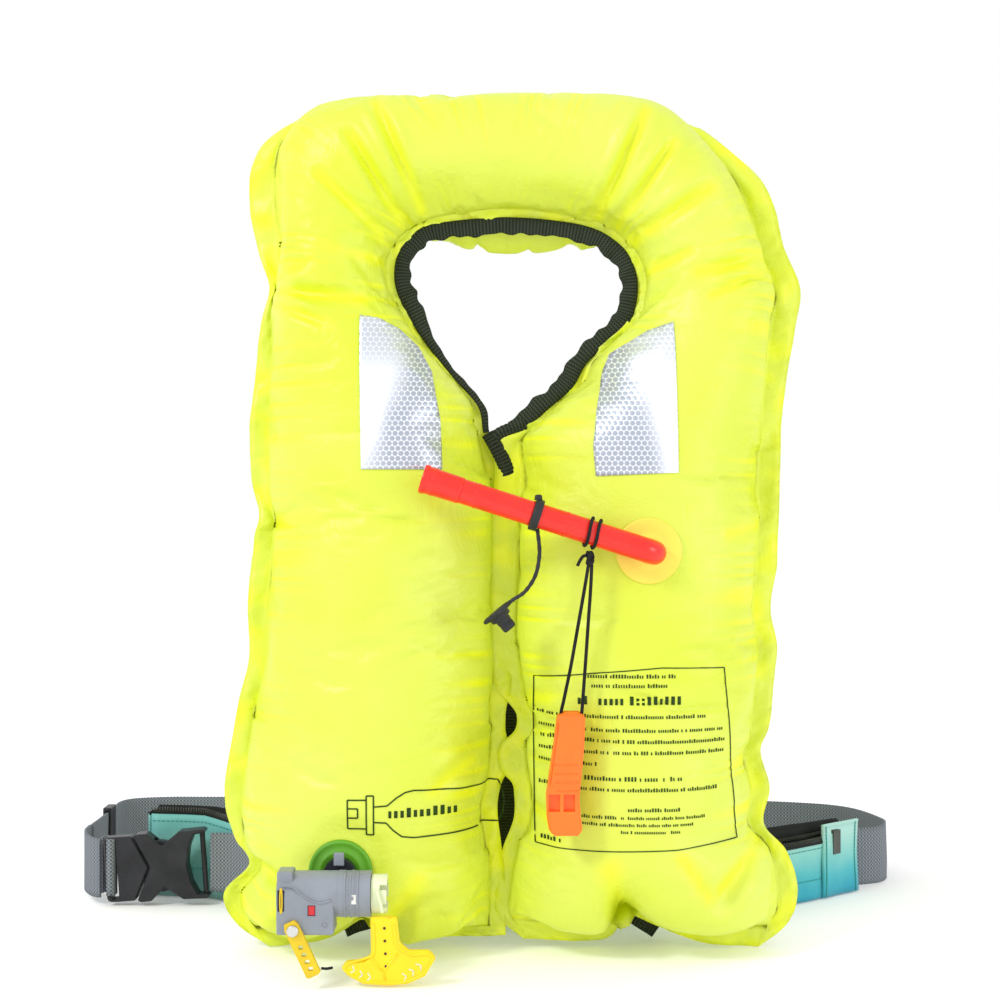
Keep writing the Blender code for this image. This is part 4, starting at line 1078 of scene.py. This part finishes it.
POUCH_PLAN = [
    (-236, 41), (-196, 33), (-158, 9), (-120, -15), (-80, -32), (-30, -43), (30, -44), (90, -37),
    (140, -21), (175, -2), (211, 20), (250, 57),
]
POUCH_DEPTH = 16.0
FRONT_HEIGHTS = [58.5, 58.5, 52, 44, 38, 38, 38, 38, 38, 38, 39, 40]
BACK_HEIGHTS = [60, 60, 56, 50, 48, 48, 48, 48, 50, 50, 50, 48]
END_PLANS = {"left": [(-238.9, 33.4), (-235.8, 49.2)], "right": [(256.1, 51.9), (246.0, 63.9)]}
MALE_LOOP_PLAN = [
    (-267.5, 9.5), (-264.5, 14.6), (-260, 15.4), (-257.4, 11.5), (-257.2, 6), (-258.5, 2.6), (-262, 2.2),
]
# Seen from above: the reinforcing bands, and then in front view the tie straps, from, to and width.
END_BANDS = {
    "right": [(228.6, 24.1), (242.6, 36.7), (257.6, 50.3)],
    "left": [(-190, 22.2), (-181, 20.6), (-172, 19.2)],
}
TIE_STRAPS = {"tie_right": ((76, -90, 25), (104, -88, 5), 10), "tie_left": ((-92, -90, 6), (-62, -88, 17), 9)}


def along_tube(distance):
    return TUBE_MOUTH + TUBE_AXIS * distance


def build_oral_tube():
    """The red tube: down its bore, round its lip, along it past three moulded rings, then into the elbow."""
    bore, wall = TUBE_BORE, TUBE_RADIUS
    stations = [(BORE_DEPTH, 0.1), (BORE_DEPTH, bore - 0.4), (12, bore), (1.2, bore), (0.3, bore + 0.5),
                (0.0, bore + 1.0), (0.3, wall - 0.4), (1.2, wall), (30, wall)]
    end = (TUBE_ELBOW - TUBE_MOUTH).length - 9
    for ring_at in (33.0, 66.0, 87.0):
        stations += [(ring_at - 0.8, wall), (ring_at - 0.3, wall + 0.28), (ring_at + 0.3, wall + 0.28),
                     (ring_at + 0.8, wall)]
    stations.append((end, wall))
    points = [along_tube(s) for s, _ in stations]
    radii = [r for _, r in stations]
    start = along_tube(end)
    for k in range(1, 9):
        a = math.radians(90 * k / 8)
        points.append(start + TUBE_AXIS * 9 * math.sin(a) + Vector((0, 9 * (1 - math.cos(a)), 0)))
        radii.append(wall - 0.1 * k / 8)
    tube = sweep_stations("oral_tube_skin", points, radii, len(stations))
    finish_piece(tube, "tube_red", nodes=["oral_tube"])
    over_wall = [(0.05, 0.6), (0.9, 0), (1.35, 0.5), (1.4, 2.6), (0.85, 3.4), (0.75, 6.0), (1.05, 6.5),
                 (1.05, 7.6), (0.7, 8.2), (0.5, 21.5), (0.6, 22.2), (0.35, 23.6), (0.05, 24)]
    grip = [(wall + r, z) for r, z in over_wall]
    finish_piece(turned("mouthpiece_grip", grip, facing(TUBE_AXIS, TUBE_MOUTH), closed=True), "tube_red",
                 nodes=["oral_mouthpiece"])
    disc = [(0, 2.9), (7.6, 2.9), (8.6, 2.5), (9.2, 1.6), (12, 1.3), (17.8, 1.1), (19, 0.9), (19.5, 0.35),
            (19.3, 0), (0, 0)]
    made = turned("oral_flange_disc", disc, facing((0, -1, 0), ORAL_FLANGE_AT))
    finish_piece(made, "flange_orange", nodes=["oral_tube_flange"])
    for name, x in (("lanyard_wrap_left", 56.8), ("lanyard_wrap_right", 61.4)):
        centre = along_tube((x - TUBE_MOUTH.x) / TUBE_AXIS.x)
        turn = facing(TUBE_AXIS, centre)
        radius = wall + 1.2
        loop = [turn @ Vector((radius * math.cos(a), radius * math.sin(a), 0.5 * math.sin(2 * a)))
                for a in [2 * math.pi * k / 40 for k in range(40)]]
        finish_piece(sweep(name + "_cord", loop, 1.0, 10, closed=True), "cord_black", nodes=[name])


def build_valve_spring():
    """The coil under the oral valve's head, which closes up as the head is pressed in."""
    across = Vector((0, 1, 0))
    side = TUBE_AXIS.cross(across)
    points = []
    for k in range(37):
        a = 2 * math.pi * k / 12
        on_axis = TUBE_MOUTH + TUBE_AXIS * (4.9 + 0.85 * k / 12)
        points.append(on_axis + (across * math.cos(a) + side * math.sin(a)) * 2.4)
    spring = sweep("valve_spring", points, 0.3, 8)
    finish_piece(spring, "spring_steel", nodes=["oral_valve_spring"])
    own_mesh(spring)


def sweep_stations(name, points, radii, straight):
    """The tube's skin: its first stations are rings about one straight axis, the rest turn into the elbow."""
    verts, faces, sides = [], [], 40
    up = Vector((0, -1, 0))
    for i, (p, r) in enumerate(zip(points, radii)):
        if i < straight:
            ahead = TUBE_AXIS
        else:
            a = math.radians(90 * (i - straight + 1) / 8)
            ahead = (TUBE_AXIS * math.cos(a) + Vector((0, math.sin(a), 0))).normalized()
        side = TUBE_AXIS.cross(up).normalized()
        lift = side.cross(ahead).normalized()
        for k in range(sides):
            a = 2 * math.pi * k / sides
            verts.append((p + (lift * math.cos(a) + side * math.sin(a)) * r) * MM)
    for i in range(len(points) - 1):
        for k in range(sides):
            a, b = i * sides + k, i * sides + (k + 1) % sides
            faces.append((a, b, b + sides, a + sides))
    return face_outward(mesh_object(name, verts, faces))


def build_cap():
    """The dust cap with its tether, whose ring grips the tube."""
    at = along_tube((26.5 - TUBE_MOUTH.x) / TUBE_AXIS.x)
    over_wall = [(0.2, -2.5), (1.7, -2.5), (2.1, -2.1), (2.1, 2.1), (1.7, 2.5), (0.2, 2.5)]
    band = [(TUBE_RADIUS + r, z) for r, z in over_wall]
    made = turned("tether_band", band, facing(TUBE_AXIS, at), closed=True)
    finish_piece(made, "rubber_black", nodes=["tether_ring"])
    above = [at + Vector((1.2, -1, z)) for z in (8.6, 9.6, 11.2, 11.8)]
    nub = sweep("tether_nub", above, [2.4, 2.2, 2.1, 1.2], 12)
    finish_piece(nub, "rubber_black")
    route = smooth_points([(26.9, -180, 259.4)] + TETHER_ROUTE + [(9.5, -176, 215.5)], 8)
    ribbed = [1.15 + 0.12 * math.sin(k * 1.9) for k in range(len(route))]
    finish_piece(sweep("cap_tether_strap", route, ribbed, 12), "rubber_black", "cap", ["cap_tether"])
    profile = [(0, 1.6), (8.4, 1.6), (9.4, 1.2), (9.7, 0.4), (9.5, -0.8), (8.6, -1.2), (6.5, -1.4),
               (6.3, -3.6), (5.9, -4), (4.5, -4.4), (4.3, -7.2), (3.9, -7.6), (4.3, -8), (4.2, -11), (3.5, -12), (0, -12)]
    turn = facing(-CAP_AXIS, CAP_CENTRE)
    finish_piece(turned("dust_cap_plug", profile, turn, 40), "rubber_black", "cap", ["dust_cap"])
    for k in range(16):
        a = 2 * math.pi * k / 16
        spot = [turn @ Vector((9.45 * math.cos(a), 9.45 * math.sin(a), z)) for z in (-0.7, 1.0)]
        finish_piece(sweep(f"cap_grip_{k}", spot, 0.55, 6), "rubber_black", "cap")


def build_lanyard():
    """The whistle's cord, its knot under the tube, and the knot's loose tail."""
    route = smooth_points(CORD_ROUTE, 8)
    cord = finish_piece(sweep("lanyard", route, 1.0, 12), "cord_black", "whistle", ["lanyard_cord"])
    knot = []
    for k in range(64):
        t = 2 * math.pi * k / 64
        ring, up = 1.25 + 0.6 * math.cos(3 * t), 3.4 * math.sin(3 * t) + 0.2
        knot.append(KNOT + Vector((ring * math.cos(2 * t), ring * math.sin(2 * t), up)))
    turns = sweep("lanyard_knot_turns", knot, 0.95, 10, closed=True)
    finish_piece(turns, "cord_black", nodes=["lanyard_knot"])
    loose = [(56, -180.5, 244), (53.6, -181.5, 243.6), (51.6, -181.8, 241), (50.2, -181.4, 238)]
    tail = smooth_points(loose, 6)
    finish_piece(sweep("lanyard_tail", tail, 0.95, 10), "cord_black")


def block(name, low, high, finish, body=BODY, bevel=0.3):
    """A small moulded bar between its low and high corner, in mm."""
    low, high = Vector(low), Vector(high)
    bm = bmesh.new()
    made = bmesh.ops.create_cube(bm, size=1)["verts"]
    place = Matrix.Translation((low + high) / 2) @ Matrix.Diagonal((*(high - low), 1))
    bmesh.ops.transform(bm, matrix=place, verts=made)
    bmesh.ops.scale(bm, vec=(MM, MM, MM), verts=bm.verts)
    mesh = bpy.data.meshes.new(name)
    bm.to_mesh(mesh)
    bm.free()
    obj = put_in_scene(bpy.data.objects.new(name, mesh))
    return finish_piece(obj, finish, body, bevel=bevel)


def rods(name, lines, radius, finish, body=BODY, sides=10):
    """Several short round bars as one piece, each along its own list of points."""
    bm = bmesh.new()
    for line in lines:
        part = sweep("part", line, radius, sides)
        bm.from_mesh(part.data)
        bpy.data.objects.remove(part)
    mesh = bpy.data.meshes.new(name)
    bm.to_mesh(mesh)
    bm.free()
    mesh.shade_smooth()
    obj = put_in_scene(bpy.data.objects.new(name, mesh))
    return finish_piece(obj, finish, body)


def detail_whistle():
    """The whistle's grip ribs, mould seam and mouth."""
    front, seam = WHISTLE_Y - 7.05, WHISTLE_Y - 7.0
    rows = [[(36.6 + 0.6 * k, front, 123 - 5 * k), (50.8 + 0.1 * k, front, 123 - 5 * k)] for k in range(4)]
    rods("whistle_ribs", rows, 0.35, "whistle_orange", "whistle")
    line = [(38.9, seam, 147), (36.4, seam, 131), (34.4, seam, 112)]
    rods("whistle_seam", [line], 0.3, "whistle_orange", "whistle")
    low, high = (36.5, WHISTLE_Y - 6.9, 82), (51, WHISTLE_Y - 5.6, 84.6)
    block("whistle_mouth", low, high, "whistle_orange", "whistle", 0.5)


def detail_inflator():
    """The green weld disc, and the ribs, bead, rivets and ports moulded on the inflator's body."""
    x, z = FLANGE_CENTRE
    disc = [(0, 2.6), (10.8, 2.6), (11.2, 2.9), (12.6, 2.9), (13, 2.5), (16.2, 2.3), (16.7, 2.7), (17.9, 2.7),
            (18.6, 2.2), (18.8, 1.2), (18.8, 0), (0, 0)]
    finish_piece(turned("inflator_disc", disc, facing((0, -1, 0), (x, -167, z)), 64), "inflator_green",
                 nodes=["inflator_flange"])
    front = BODY_AXIS_Y - 13.1
    ribs = []
    for at in (-82.5, -79.2, -75.2):
        ribs.append([Vector((at, BODY_AXIS_Y - 13.05 * math.cos(a), BODY_AXIS_Z + 13.05 * math.sin(a)))
                     for a in [math.radians(-70 + 10 * k) for k in range(16)]])
    rods("inflator_ribs", ribs, 0.7, "inflator_grey")
    line = [(-118.5, 0.1, 58.5), (-112, 0.25, 57.6), (-105, 0.2, 52), (-97, 0.2, 48.5), (-90, 0.3, 50)]
    bead = smooth_points([(x, front - out, z) for x, out, z in line], 6)
    rods("inflator_bead", [bead], 0.55, "inflator_grey")
    for name, spot, radius in (("rivet_lower", (-113.5, -203.4, 33.4), 3.3),
                               ("rivet_upper", (-93.5, -203.2, 36), 1.3)):
        dome = [(0, 0.9), (radius * 0.55, 0.75), (radius * 0.9, 0.3), (radius, 0), (radius, -0.6), (0, -0.6)]
        finish_piece(turned(name, dome, facing((0, -1, 0), spot), 32), "inflator_grey")
    block("inflator_port", (-120.2, -203.3, 43.5), (-116.4, -202.4, 55.6), "hub_black", bevel=0.35)
    block("inflator_recess", (-78.6, front - 0.05, 47.6), (-74.6, BODY_AXIS_Y - 12, 53), "valve_white")
    ring = [Vector((-118.2 + 0.6 * math.cos(a), -203.1, 49.5 + 7.0 * math.sin(a)))
            for a in [2 * math.pi * k / 24 for k in range(24)]]
    finish_piece(sweep("inflator_port_rim", ring, 0.5, 8, closed=True), "lever_yellow")


def round_cad_edges():
    for name, width in EDGE.items():
        round_edges(frame["nodes"][name], width, 40)


def detail_handle():
    """The raised rim, the vee ribs, the chevrons and the row of dots on the jerk handle."""
    front = HANDLE_Y - 2.6
    rim = smooth_points([(x, front, z) for x, z in HANDLE_RIM], 5)
    rods("handle_rim", [rim], 0.75, "handle_yellow", "handle")
    rods("handle_vees", [[(-52.4, front, 19), (-60.2, front, 9.5), (-59.6, front, 4.2)],
                         [(-67.4, front, 17), (-61.4, front, 9.5)]], 0.6, "handle_yellow", "handle")
    arrows = []
    for x, z, lean in ((-77, 9.4, 0.35), (-72.4, 6.9, 0.2), (-67.8, 5.7, 0.1),
                       (-47.6, 6.3, -0.3), (-43.4, 9.2, -0.5), (-39.4, 12.6, -0.7)):
        for turn in (0.9, -0.9):
            a = lean + turn
            arrows.append([(x, front + 0.1, z), (x - 3 * math.cos(a), front + 0.1, z + 3 * math.sin(a))])
    rods("handle_chevrons", arrows, 0.5, "collar_white", "handle", 6)
    dots = [[(-60 + 0.3 * k, front + out, 33.5 - 7.2 * k) for out in (0.4, -0.45)] for k in range(4)]
    rods("handle_dots", dots, 0.75, "hub_black", "handle", 14)


# ------------------------------------------------------------------ belt and pouch

def band_grid(plan, lows, highs, offset, rows, steps, ripple, seed):
    """A standing strip of cloth as a grid of points, with its run and height at each for the UV map."""
    centre = smooth_points([(x, y, 0) for x, y in plan], steps)
    stations = np.linspace(0, len(plan) - 1, len(centre))
    count = len(plan)
    lows = np.interp(stations, range(count), np.broadcast_to(lows, count))
    highs = np.interp(stations, range(count), np.broadcast_to(highs, count))
    grid, uvs, run = [], [], 0
    for i, p in enumerate(centre):
        ahead = (centre[min(i + 1, len(centre) - 1)] - centre[max(i - 1, 0)]).normalized()
        out = Vector((ahead.y, -ahead.x, 0))
        run += (p - centre[i - 1]).length if i else 0
        column, marks = [], []
        for j in range(rows + 1):
            height = lows[i] + (highs[i] - lows[i]) * j / rows
            wave = ripple * noise.noise(Vector((run / 26, height / 30, seed)))
            column.append(p + out * (wave - offset) + Vector((0, 0, height)))
            marks.append((run * MM, (height - lows[i]) * MM))
        grid.append(column)
        uvs.append(marks)
    return grid, uvs


def cloth_band(name, plan, lows, highs, thickness, offset=0.0, rows=8, steps=6,
               ripple=0.0, seed=1.0):
    grid, uvs = band_grid(plan, lows, highs, offset, rows, steps, ripple, seed)
    verts = [p * MM for column in grid for p in column]
    flat_uvs = [uv for marks in uvs for uv in marks]
    faces = []
    for i in range(len(grid) - 1):
        for j in range(rows):
            a = i * (rows + 1) + j
            faces.append((a, a + rows + 1, a + rows + 2, a + 1))
    obj = mesh_object(name, verts, faces)
    uv_layer(obj.data, flat_uvs)
    thick = obj.modifiers.new("cloth_depth", "SOLIDIFY")
    thick.thickness, thick.offset = thickness * MM, 0
    return obj


def dashes(name, grid, row, lift, finish, pitch=3.2, size=2.1, body=BODY):
    """A line of stitches along one row of a band's grid."""
    line = [column[row] for column in grid]
    runs = [0.0]
    for a, b in zip(line, line[1:]):
        runs.append(runs[-1] + (b - a).length)
    rows, at = [], 1.0
    while at < runs[-1] - size:
        ends = []
        for d in (at, at + size / 2, at + size):
            k = next(i for i in range(len(runs) - 1) if runs[i + 1] >= d)
            share = (d - runs[k]) / (runs[k + 1] - runs[k])
            ahead = (line[k + 1] - line[k]).normalized()
            out = Vector((ahead.y, -ahead.x, 0)).normalized()
            ends.append(line[k].lerp(line[k + 1], share) + out * lift)
        ends[1] = ends[1] + out * 0.25
        rows.append(ends)
        at += pitch
    return rods(name, rows, 0.32, finish, body, 5)


def teal_cloth():
    """Polyester cloth: sea green that deepens towards the floor and to the right, with a plain weave."""
    made, nodes, links, shader = new_material("teal_cloth", (0.2, 0.5, 0.46), 0.7)
    place = nodes.new("ShaderNodeTexCoord")
    split = nodes.new("ShaderNodeSeparateXYZ")
    links.new(place.outputs["Object"], split.inputs["Vector"])
    cloud = noise_of(nodes, links, place, Scale=30.0, Detail=3.0)
    height = span_of(nodes, links, split.outputs["Z"], 0.0, 0.046)
    shift = node(nodes, "ShaderNodeMath", operation="MULTIPLY_ADD")
    shift.inputs[1].default_value, shift.inputs[2].default_value = 0.35, -0.17
    links.new(cloud.outputs["Fac"], shift.inputs[0])
    blend = node(nodes, "ShaderNodeMath", operation="ADD")
    links.new(height.outputs[0], blend.inputs[0])
    links.new(shift.outputs[0], blend.inputs[1])
    right = color_ramp(nodes, [(0.0, (0.0, 0.30, 0.42)), (0.35, (0.05, 0.42, 0.47)),
                               (0.7, (0.20, 0.54, 0.50)), (1.0, (0.36, 0.62, 0.56))])
    left = color_ramp(nodes, [(0.0, (0.16, 0.30, 0.27)), (0.4, (0.14, 0.48, 0.42)),
                              (0.75, (0.24, 0.56, 0.49)), (1.0, (0.15, 0.46, 0.44))])
    for ramp in (right, left):
        links.new(blend.outputs[0], ramp.inputs["Fac"])
    side = span_of(nodes, links, split.outputs["X"], -0.1, 0.1)
    mixed = color_mix(nodes, links, side.outputs[0], left.outputs["Color"], right.outputs["Color"])
    links.new(mixed, shader.inputs["Base Color"])
    shader.inputs["Sheen Weight"].default_value = 0.2
    weave = noise_of(nodes, links, place, Scale=1300.0, Detail=2.0)
    folds = noise_of(nodes, links, place, Scale=45.0, Detail=4.0)
    coarse = add_bump(nodes, links, shader, folds.outputs["Fac"], 0.5, 0.0025)
    fine = add_bump(nodes, links, shader, weave.outputs["Fac"], 0.5, 0.0003)
    links.new(coarse.outputs["Normal"], fine.inputs["Normal"])
    return made


def coil(name, line, radius, wire, pitch, node_name):
    """A zip's coil: one fine wire wound along a line."""
    points = []
    total = 0.0
    for a, b in zip(line, line[1:]):
        steps = max(2, int((b - a).length / pitch * 6))
        ahead = (b - a).normalized()
        side = Vector((-ahead.y, ahead.x, 0)).normalized()
        for k in range(steps):
            total += (b - a).length / steps
            turn = 2 * math.pi * total / pitch
            round_it = side * radius * math.cos(turn) + Vector((0, 0, radius * math.sin(turn)))
            points.append(a.lerp(b, k / steps) + round_it)
    finish_piece(sweep(name, points, wire, 4), "zip_black", nodes=[node_name])


def build_belt():
    """The waist belt, the strap and loop at the buckle, the bladder's lashing and the strap that slides."""
    highs = [low + 40 for low in BELT_LIFTS]
    strap = cloth_band("belt_webbing", BELT_PLAN, BELT_LIFTS, highs, 2.0, rows=10, ripple=0.7)
    finish_piece(strap, "webbing_grey", nodes=["belt_strap"])
    short = cloth_band("short_webbing", SHORT_STRAP_PLAN, 8.4, 48.4, 2.0, rows=10)
    finish_piece(short, "webbing_grey", nodes=["buckle_short_strap"])
    loop = cloth_band("male_webbing", MALE_LOOP_PLAN, 7.2, 45.4, 1.8, rows=8)
    finish_piece(loop, "webbing_grey", "male")
    lash = [[(x, -101 + 46 * k / 12, 166 - 124 * k / 12) for x in (2, 20)] for k in range(13)]
    verts = [Vector(p) * MM for row in lash for p in row]
    faces = [(2 * k, 2 * k + 1, 2 * k + 3, 2 * k + 2) for k in range(12)]
    made = mesh_object("bladder_lashing", verts, faces)
    uv_layer(made.data, [(p.z, p.x) for p in verts])
    made.modifiers.new("cloth_depth", "SOLIDIFY").thickness = 1.6 * MM
    finish_piece(made, "binding_black")
    slack = cloth_band("buckle_webbing", LEFT_STRAP_PLAN, 4.5, 44.5, 2.0, rows=10)
    slack.modifiers.clear()
    solid = bmesh.new()
    solid.from_mesh(slack.data)
    bmesh.ops.solidify(solid, geom=solid.faces[:], thickness=2.0 * MM)
    solid.to_mesh(slack.data)
    solid.free()
    slack.data.materials.append(FINISH["webbing_grey"])
    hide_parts("belt_strap_left")
    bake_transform(slack)


def build_pouch():
    """The teal pouch: front, back, lining, floor and ends, with their edging, stitches and zip."""
    half = POUCH_DEPTH / 2
    front_offset, back_offset = -half + 1, half - 1
    front = cloth_band("pouch_front", POUCH_PLAN, 0.4, FRONT_HEIGHTS, 1.5, front_offset, 10, 8, 1.6, 2.0)
    finish_piece(front, "pouch_teal", nodes=["pouch_front_panel"])
    back = cloth_band("pouch_back", POUCH_PLAN, 0.4, BACK_HEIGHTS, 1.5, back_offset, 10, 8, 1.0, 6.0)
    finish_piece(back, "pouch_teal", nodes=["pouch_back_panel"])
    tops = [h + 0.3 for h in BACK_HEIGHTS]
    lining = cloth_band("pouch_inner_cloth", POUCH_PLAN, 3.4, tops, 0.6, half - 3.0, 8, 8, 0.9, 9.0)
    finish_piece(lining, "lining_black", nodes=["pouch_lining"])
    length = band_length(POUCH_PLAN)
    floor = cloth_band("pouch_floor_cloth", POUCH_PLAN, 0.3, 1.8, 2 * half - 5, 0, 1, 8)
    finish_piece(floor, "pouch_teal", nodes=["pouch_floor"])
    for label, heights, offset, seed, out in (("front", FRONT_HEIGHTS, front_offset, 2.0, 1.0),
                                              ("back", BACK_HEIGHTS, back_offset, 6.0, -1.0)):
        ripple = 1.6 if label == "front" else 1.0
        grid, _ = band_grid(POUCH_PLAN, 0.4, heights, offset, 20, 8, ripple, seed)
        edge = [column[-1] for column in grid]
        finish_piece(sweep(f"pouch_{label}_edging", edge, 1.35, 10), "lining_black")
        dashes(f"pouch_{label}_stitches", grid, 18, 0.85 * out, "thread_teal")
        if label == "front":
            dashes("pouch_front_lower_stitches", grid, 7, 0.85, "thread_teal")
    build_end_band()
    for name in ("left", "right"):
        tall = [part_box(f"pouch_end_{name}")[1].z / MM - 0.6] * 2
        plan = END_PLANS[name]
        end = cloth_band(f"pouch_end_cloth_{name}", plan, 0.4, tall, 1.5, 0, 10, 8, 0.6, 3.0)
        finish_piece(end, "pouch_teal", nodes=[f"pouch_end_{name}"])
        grid, _ = band_grid(plan, 0.4, tall, 0, 20, 8, 0.6, 3.0)
        finish_piece(sweep(f"pouch_end_edging_{name}", [c[-1] for c in grid], 1.2, 10), "lining_black")
    grid, _ = band_grid(POUCH_PLAN, 0, [h + 1.6 for h in FRONT_HEIGHTS], front_offset, 1, 6, 0, 0)
    coil("zip_teeth_front", [c[-1] + Vector((0, 0, 0.3)) for c in grid], 1.5, 0.42, 1.9, "zip_coil_front")
    grid, _ = band_grid(POUCH_PLAN, 0, 42, half - 2 - 0.4 - 0.8 - 1.8, 1, 6, 0, 0)
    coil("zip_teeth_back", [c[-1] for c in grid], 1.5, 0.42, 1.9, "zip_coil_back")


def build_end_band():
    """The reinforcing bands sewn over the front of the pouch, each with stitches along both edges."""
    top = 50
    for name, plan in END_BANDS.items():
        band = cloth_band(f"pouch_end_band_{name}", plan, 0.6, top, 1.6, 0, 10, 6, 1.4, 4.0)
        finish_piece(band, "pouch_teal")
        grid, _ = band_grid(plan, 0.6, top, 0, 20, 6, 1.4, 4.0)
        rows = []
        for column in (grid[1], grid[-2]):
            ahead = (grid[1][0] - grid[0][0]).normalized()
            out = Vector((ahead.y, -ahead.x, 0)) * 1.0
            for j in range(0, 20):
                rows.append([column[j].lerp(column[j + 1], t) + out for t in (0.05, 0.45, 0.9)])
        rods(f"pouch_end_band_stitches_{name}", rows, 0.5, "thread_teal", sides=6)
        finish_piece(sweep(f"pouch_end_band_edging_{name}", [c[-1] for c in grid], 1.2, 10), "pouch_teal")


def band_length(plan):
    line = smooth_points([(x, y, 0) for x, y in plan], 8)
    return sum((b - a).length for a, b in zip(line, line[1:])) * MM


def build_under_straps():
    """The two ends of webbing that show under the lobes, where the bladder is tied to its pouch."""
    for name, (start, end, width) in TIE_STRAPS.items():
        a, b = Vector(start), Vector(end)
        across = (b - a).cross(Vector((0, 1, 0))).normalized() * width / 2
        verts, uvs = [], []
        for k in range(13):
            p = a.lerp(b, k / 12) + Vector((0, 2.0 * math.sin(k * 0.7), 0))
            for side in (-1, 0, 1):
                verts.append((p + across * side) * MM)
                uvs.append(((b - a).length * k / 12 * MM, width * (side + 1) / 2 * MM))
        corners = [3 * k + j for k in range(12) for j in range(2)]
        faces = [(i, i + 1, i + 4, i + 3) for i in corners]
        made = mesh_object(name, verts, faces)
        uv_layer(made.data, uvs)
        made.modifiers.new("cloth_depth", "SOLIDIFY").thickness = 1.6 * MM
        finish_piece(made, "binding_black")


def build_binding():
    """Ribbed webbing folded over the cloth round the neck, gathered towards its tail in the slit."""
    rows, _ = spline(BLADDER, 900)
    edge = [Vector((x, MID_Y, z)) for x, z in rows[:, 2:4] if z > SLIT_TOP_Z + 1]
    path = [edge[0]]
    for p in edge:
        if (p - path[-1]).length >= 0.7:
            path.append(p)
    verts, faces, uvs, run, sides = [], [], [], 0.0, 14
    for i, p in enumerate(path):
        ahead = (path[min(i + 3, len(path) - 1)] - path[max(i - 3, 0)]).normalized()
        inward = Vector((ahead.z, 0, -ahead.x))
        run += (p - path[i - 1]).length if i else 0
        gathered = 1 - 0.62 * smoothstep((395 - p.z) / 40) * (p.x < 15)
        width = (10.4 + 2.6 * noise.noise(Vector((run / 8, 2.2, 0)))) * gathered
        ruffle = 3.4 * noise.noise(Vector((run / 9, 7.7, 0))) + 1.0 * noise.noise(Vector((run / 2.5, 4.4, 0)))
        rib = 0.22 * math.sin(run * 2 * math.pi / 2.1)
        for k in range(sides):
            a = 2 * math.pi * k / sides
            across = (math.cos(a) + 1) / 2
            depth = (2.5 - 1.1 * across + rib) * math.sin(a)
            spot = p + inward * (width * across - 2.2) + Vector((0, -depth + ruffle * across - 0.6, 0))
            verts.append(spot * MM)
            uvs.append((run * MM, across * 0.011))
    for i in range(len(path) - 1):
        for k in range(sides):
            a, b = i * sides + k, i * sides + (k + 1) % sides
            faces.append((a, b, b + sides, a + sides))
    faces.append(tuple(range(sides - 1, -1, -1)))
    faces.append(tuple(range((len(path) - 1) * sides, len(path) * sides)))
    obj = mesh_object("neck_webbing", verts, faces)
    uv_layer(obj.data, uvs)
    finish_piece(obj, "binding_black", nodes=["neck_binding"])
    tail = [(-1.5, -113.5, 317), (3, -114.5, 309), (7.5, -113.5, 300), (10.5, -112, 292)]
    upper = [(21, -113, 323), (12, -114.5, 320), (4, -115, 316), (1, -113, 309)]
    for name, points, radius in (("binding_tail", tail, 4.6), ("binding_tail_upper", upper, 3.8)):
        line = smooth_points(points, 10)
        made = sweep(name, line, [radius + 0.2 * math.sin(k * 2.2) for k in range(len(line))], 14)
        for vert in made.data.vertices:
            vert.co.y = MID_Y * MM + (vert.co.y - MID_Y * MM) * 0.45
        finish_piece(made, "binding_black")


make_camera()
make_stage()
FINISH = make_materials()
paint_frame_nodes()
bladder = build_bladder()
SKIN = skin_tree()
build_patch("patch_left", PATCH_LEFT, "reflective_patch_left")
build_patch("patch_right", PATCH_RIGHT, "reflective_patch_right")
build_prints()
build_binding()
build_oral_tube()
build_valve_spring()
build_cap()
build_lanyard()
detail_whistle()
detail_inflator()
round_cad_edges()
detail_handle()
build_belt()
build_under_straps()
build_pouch()
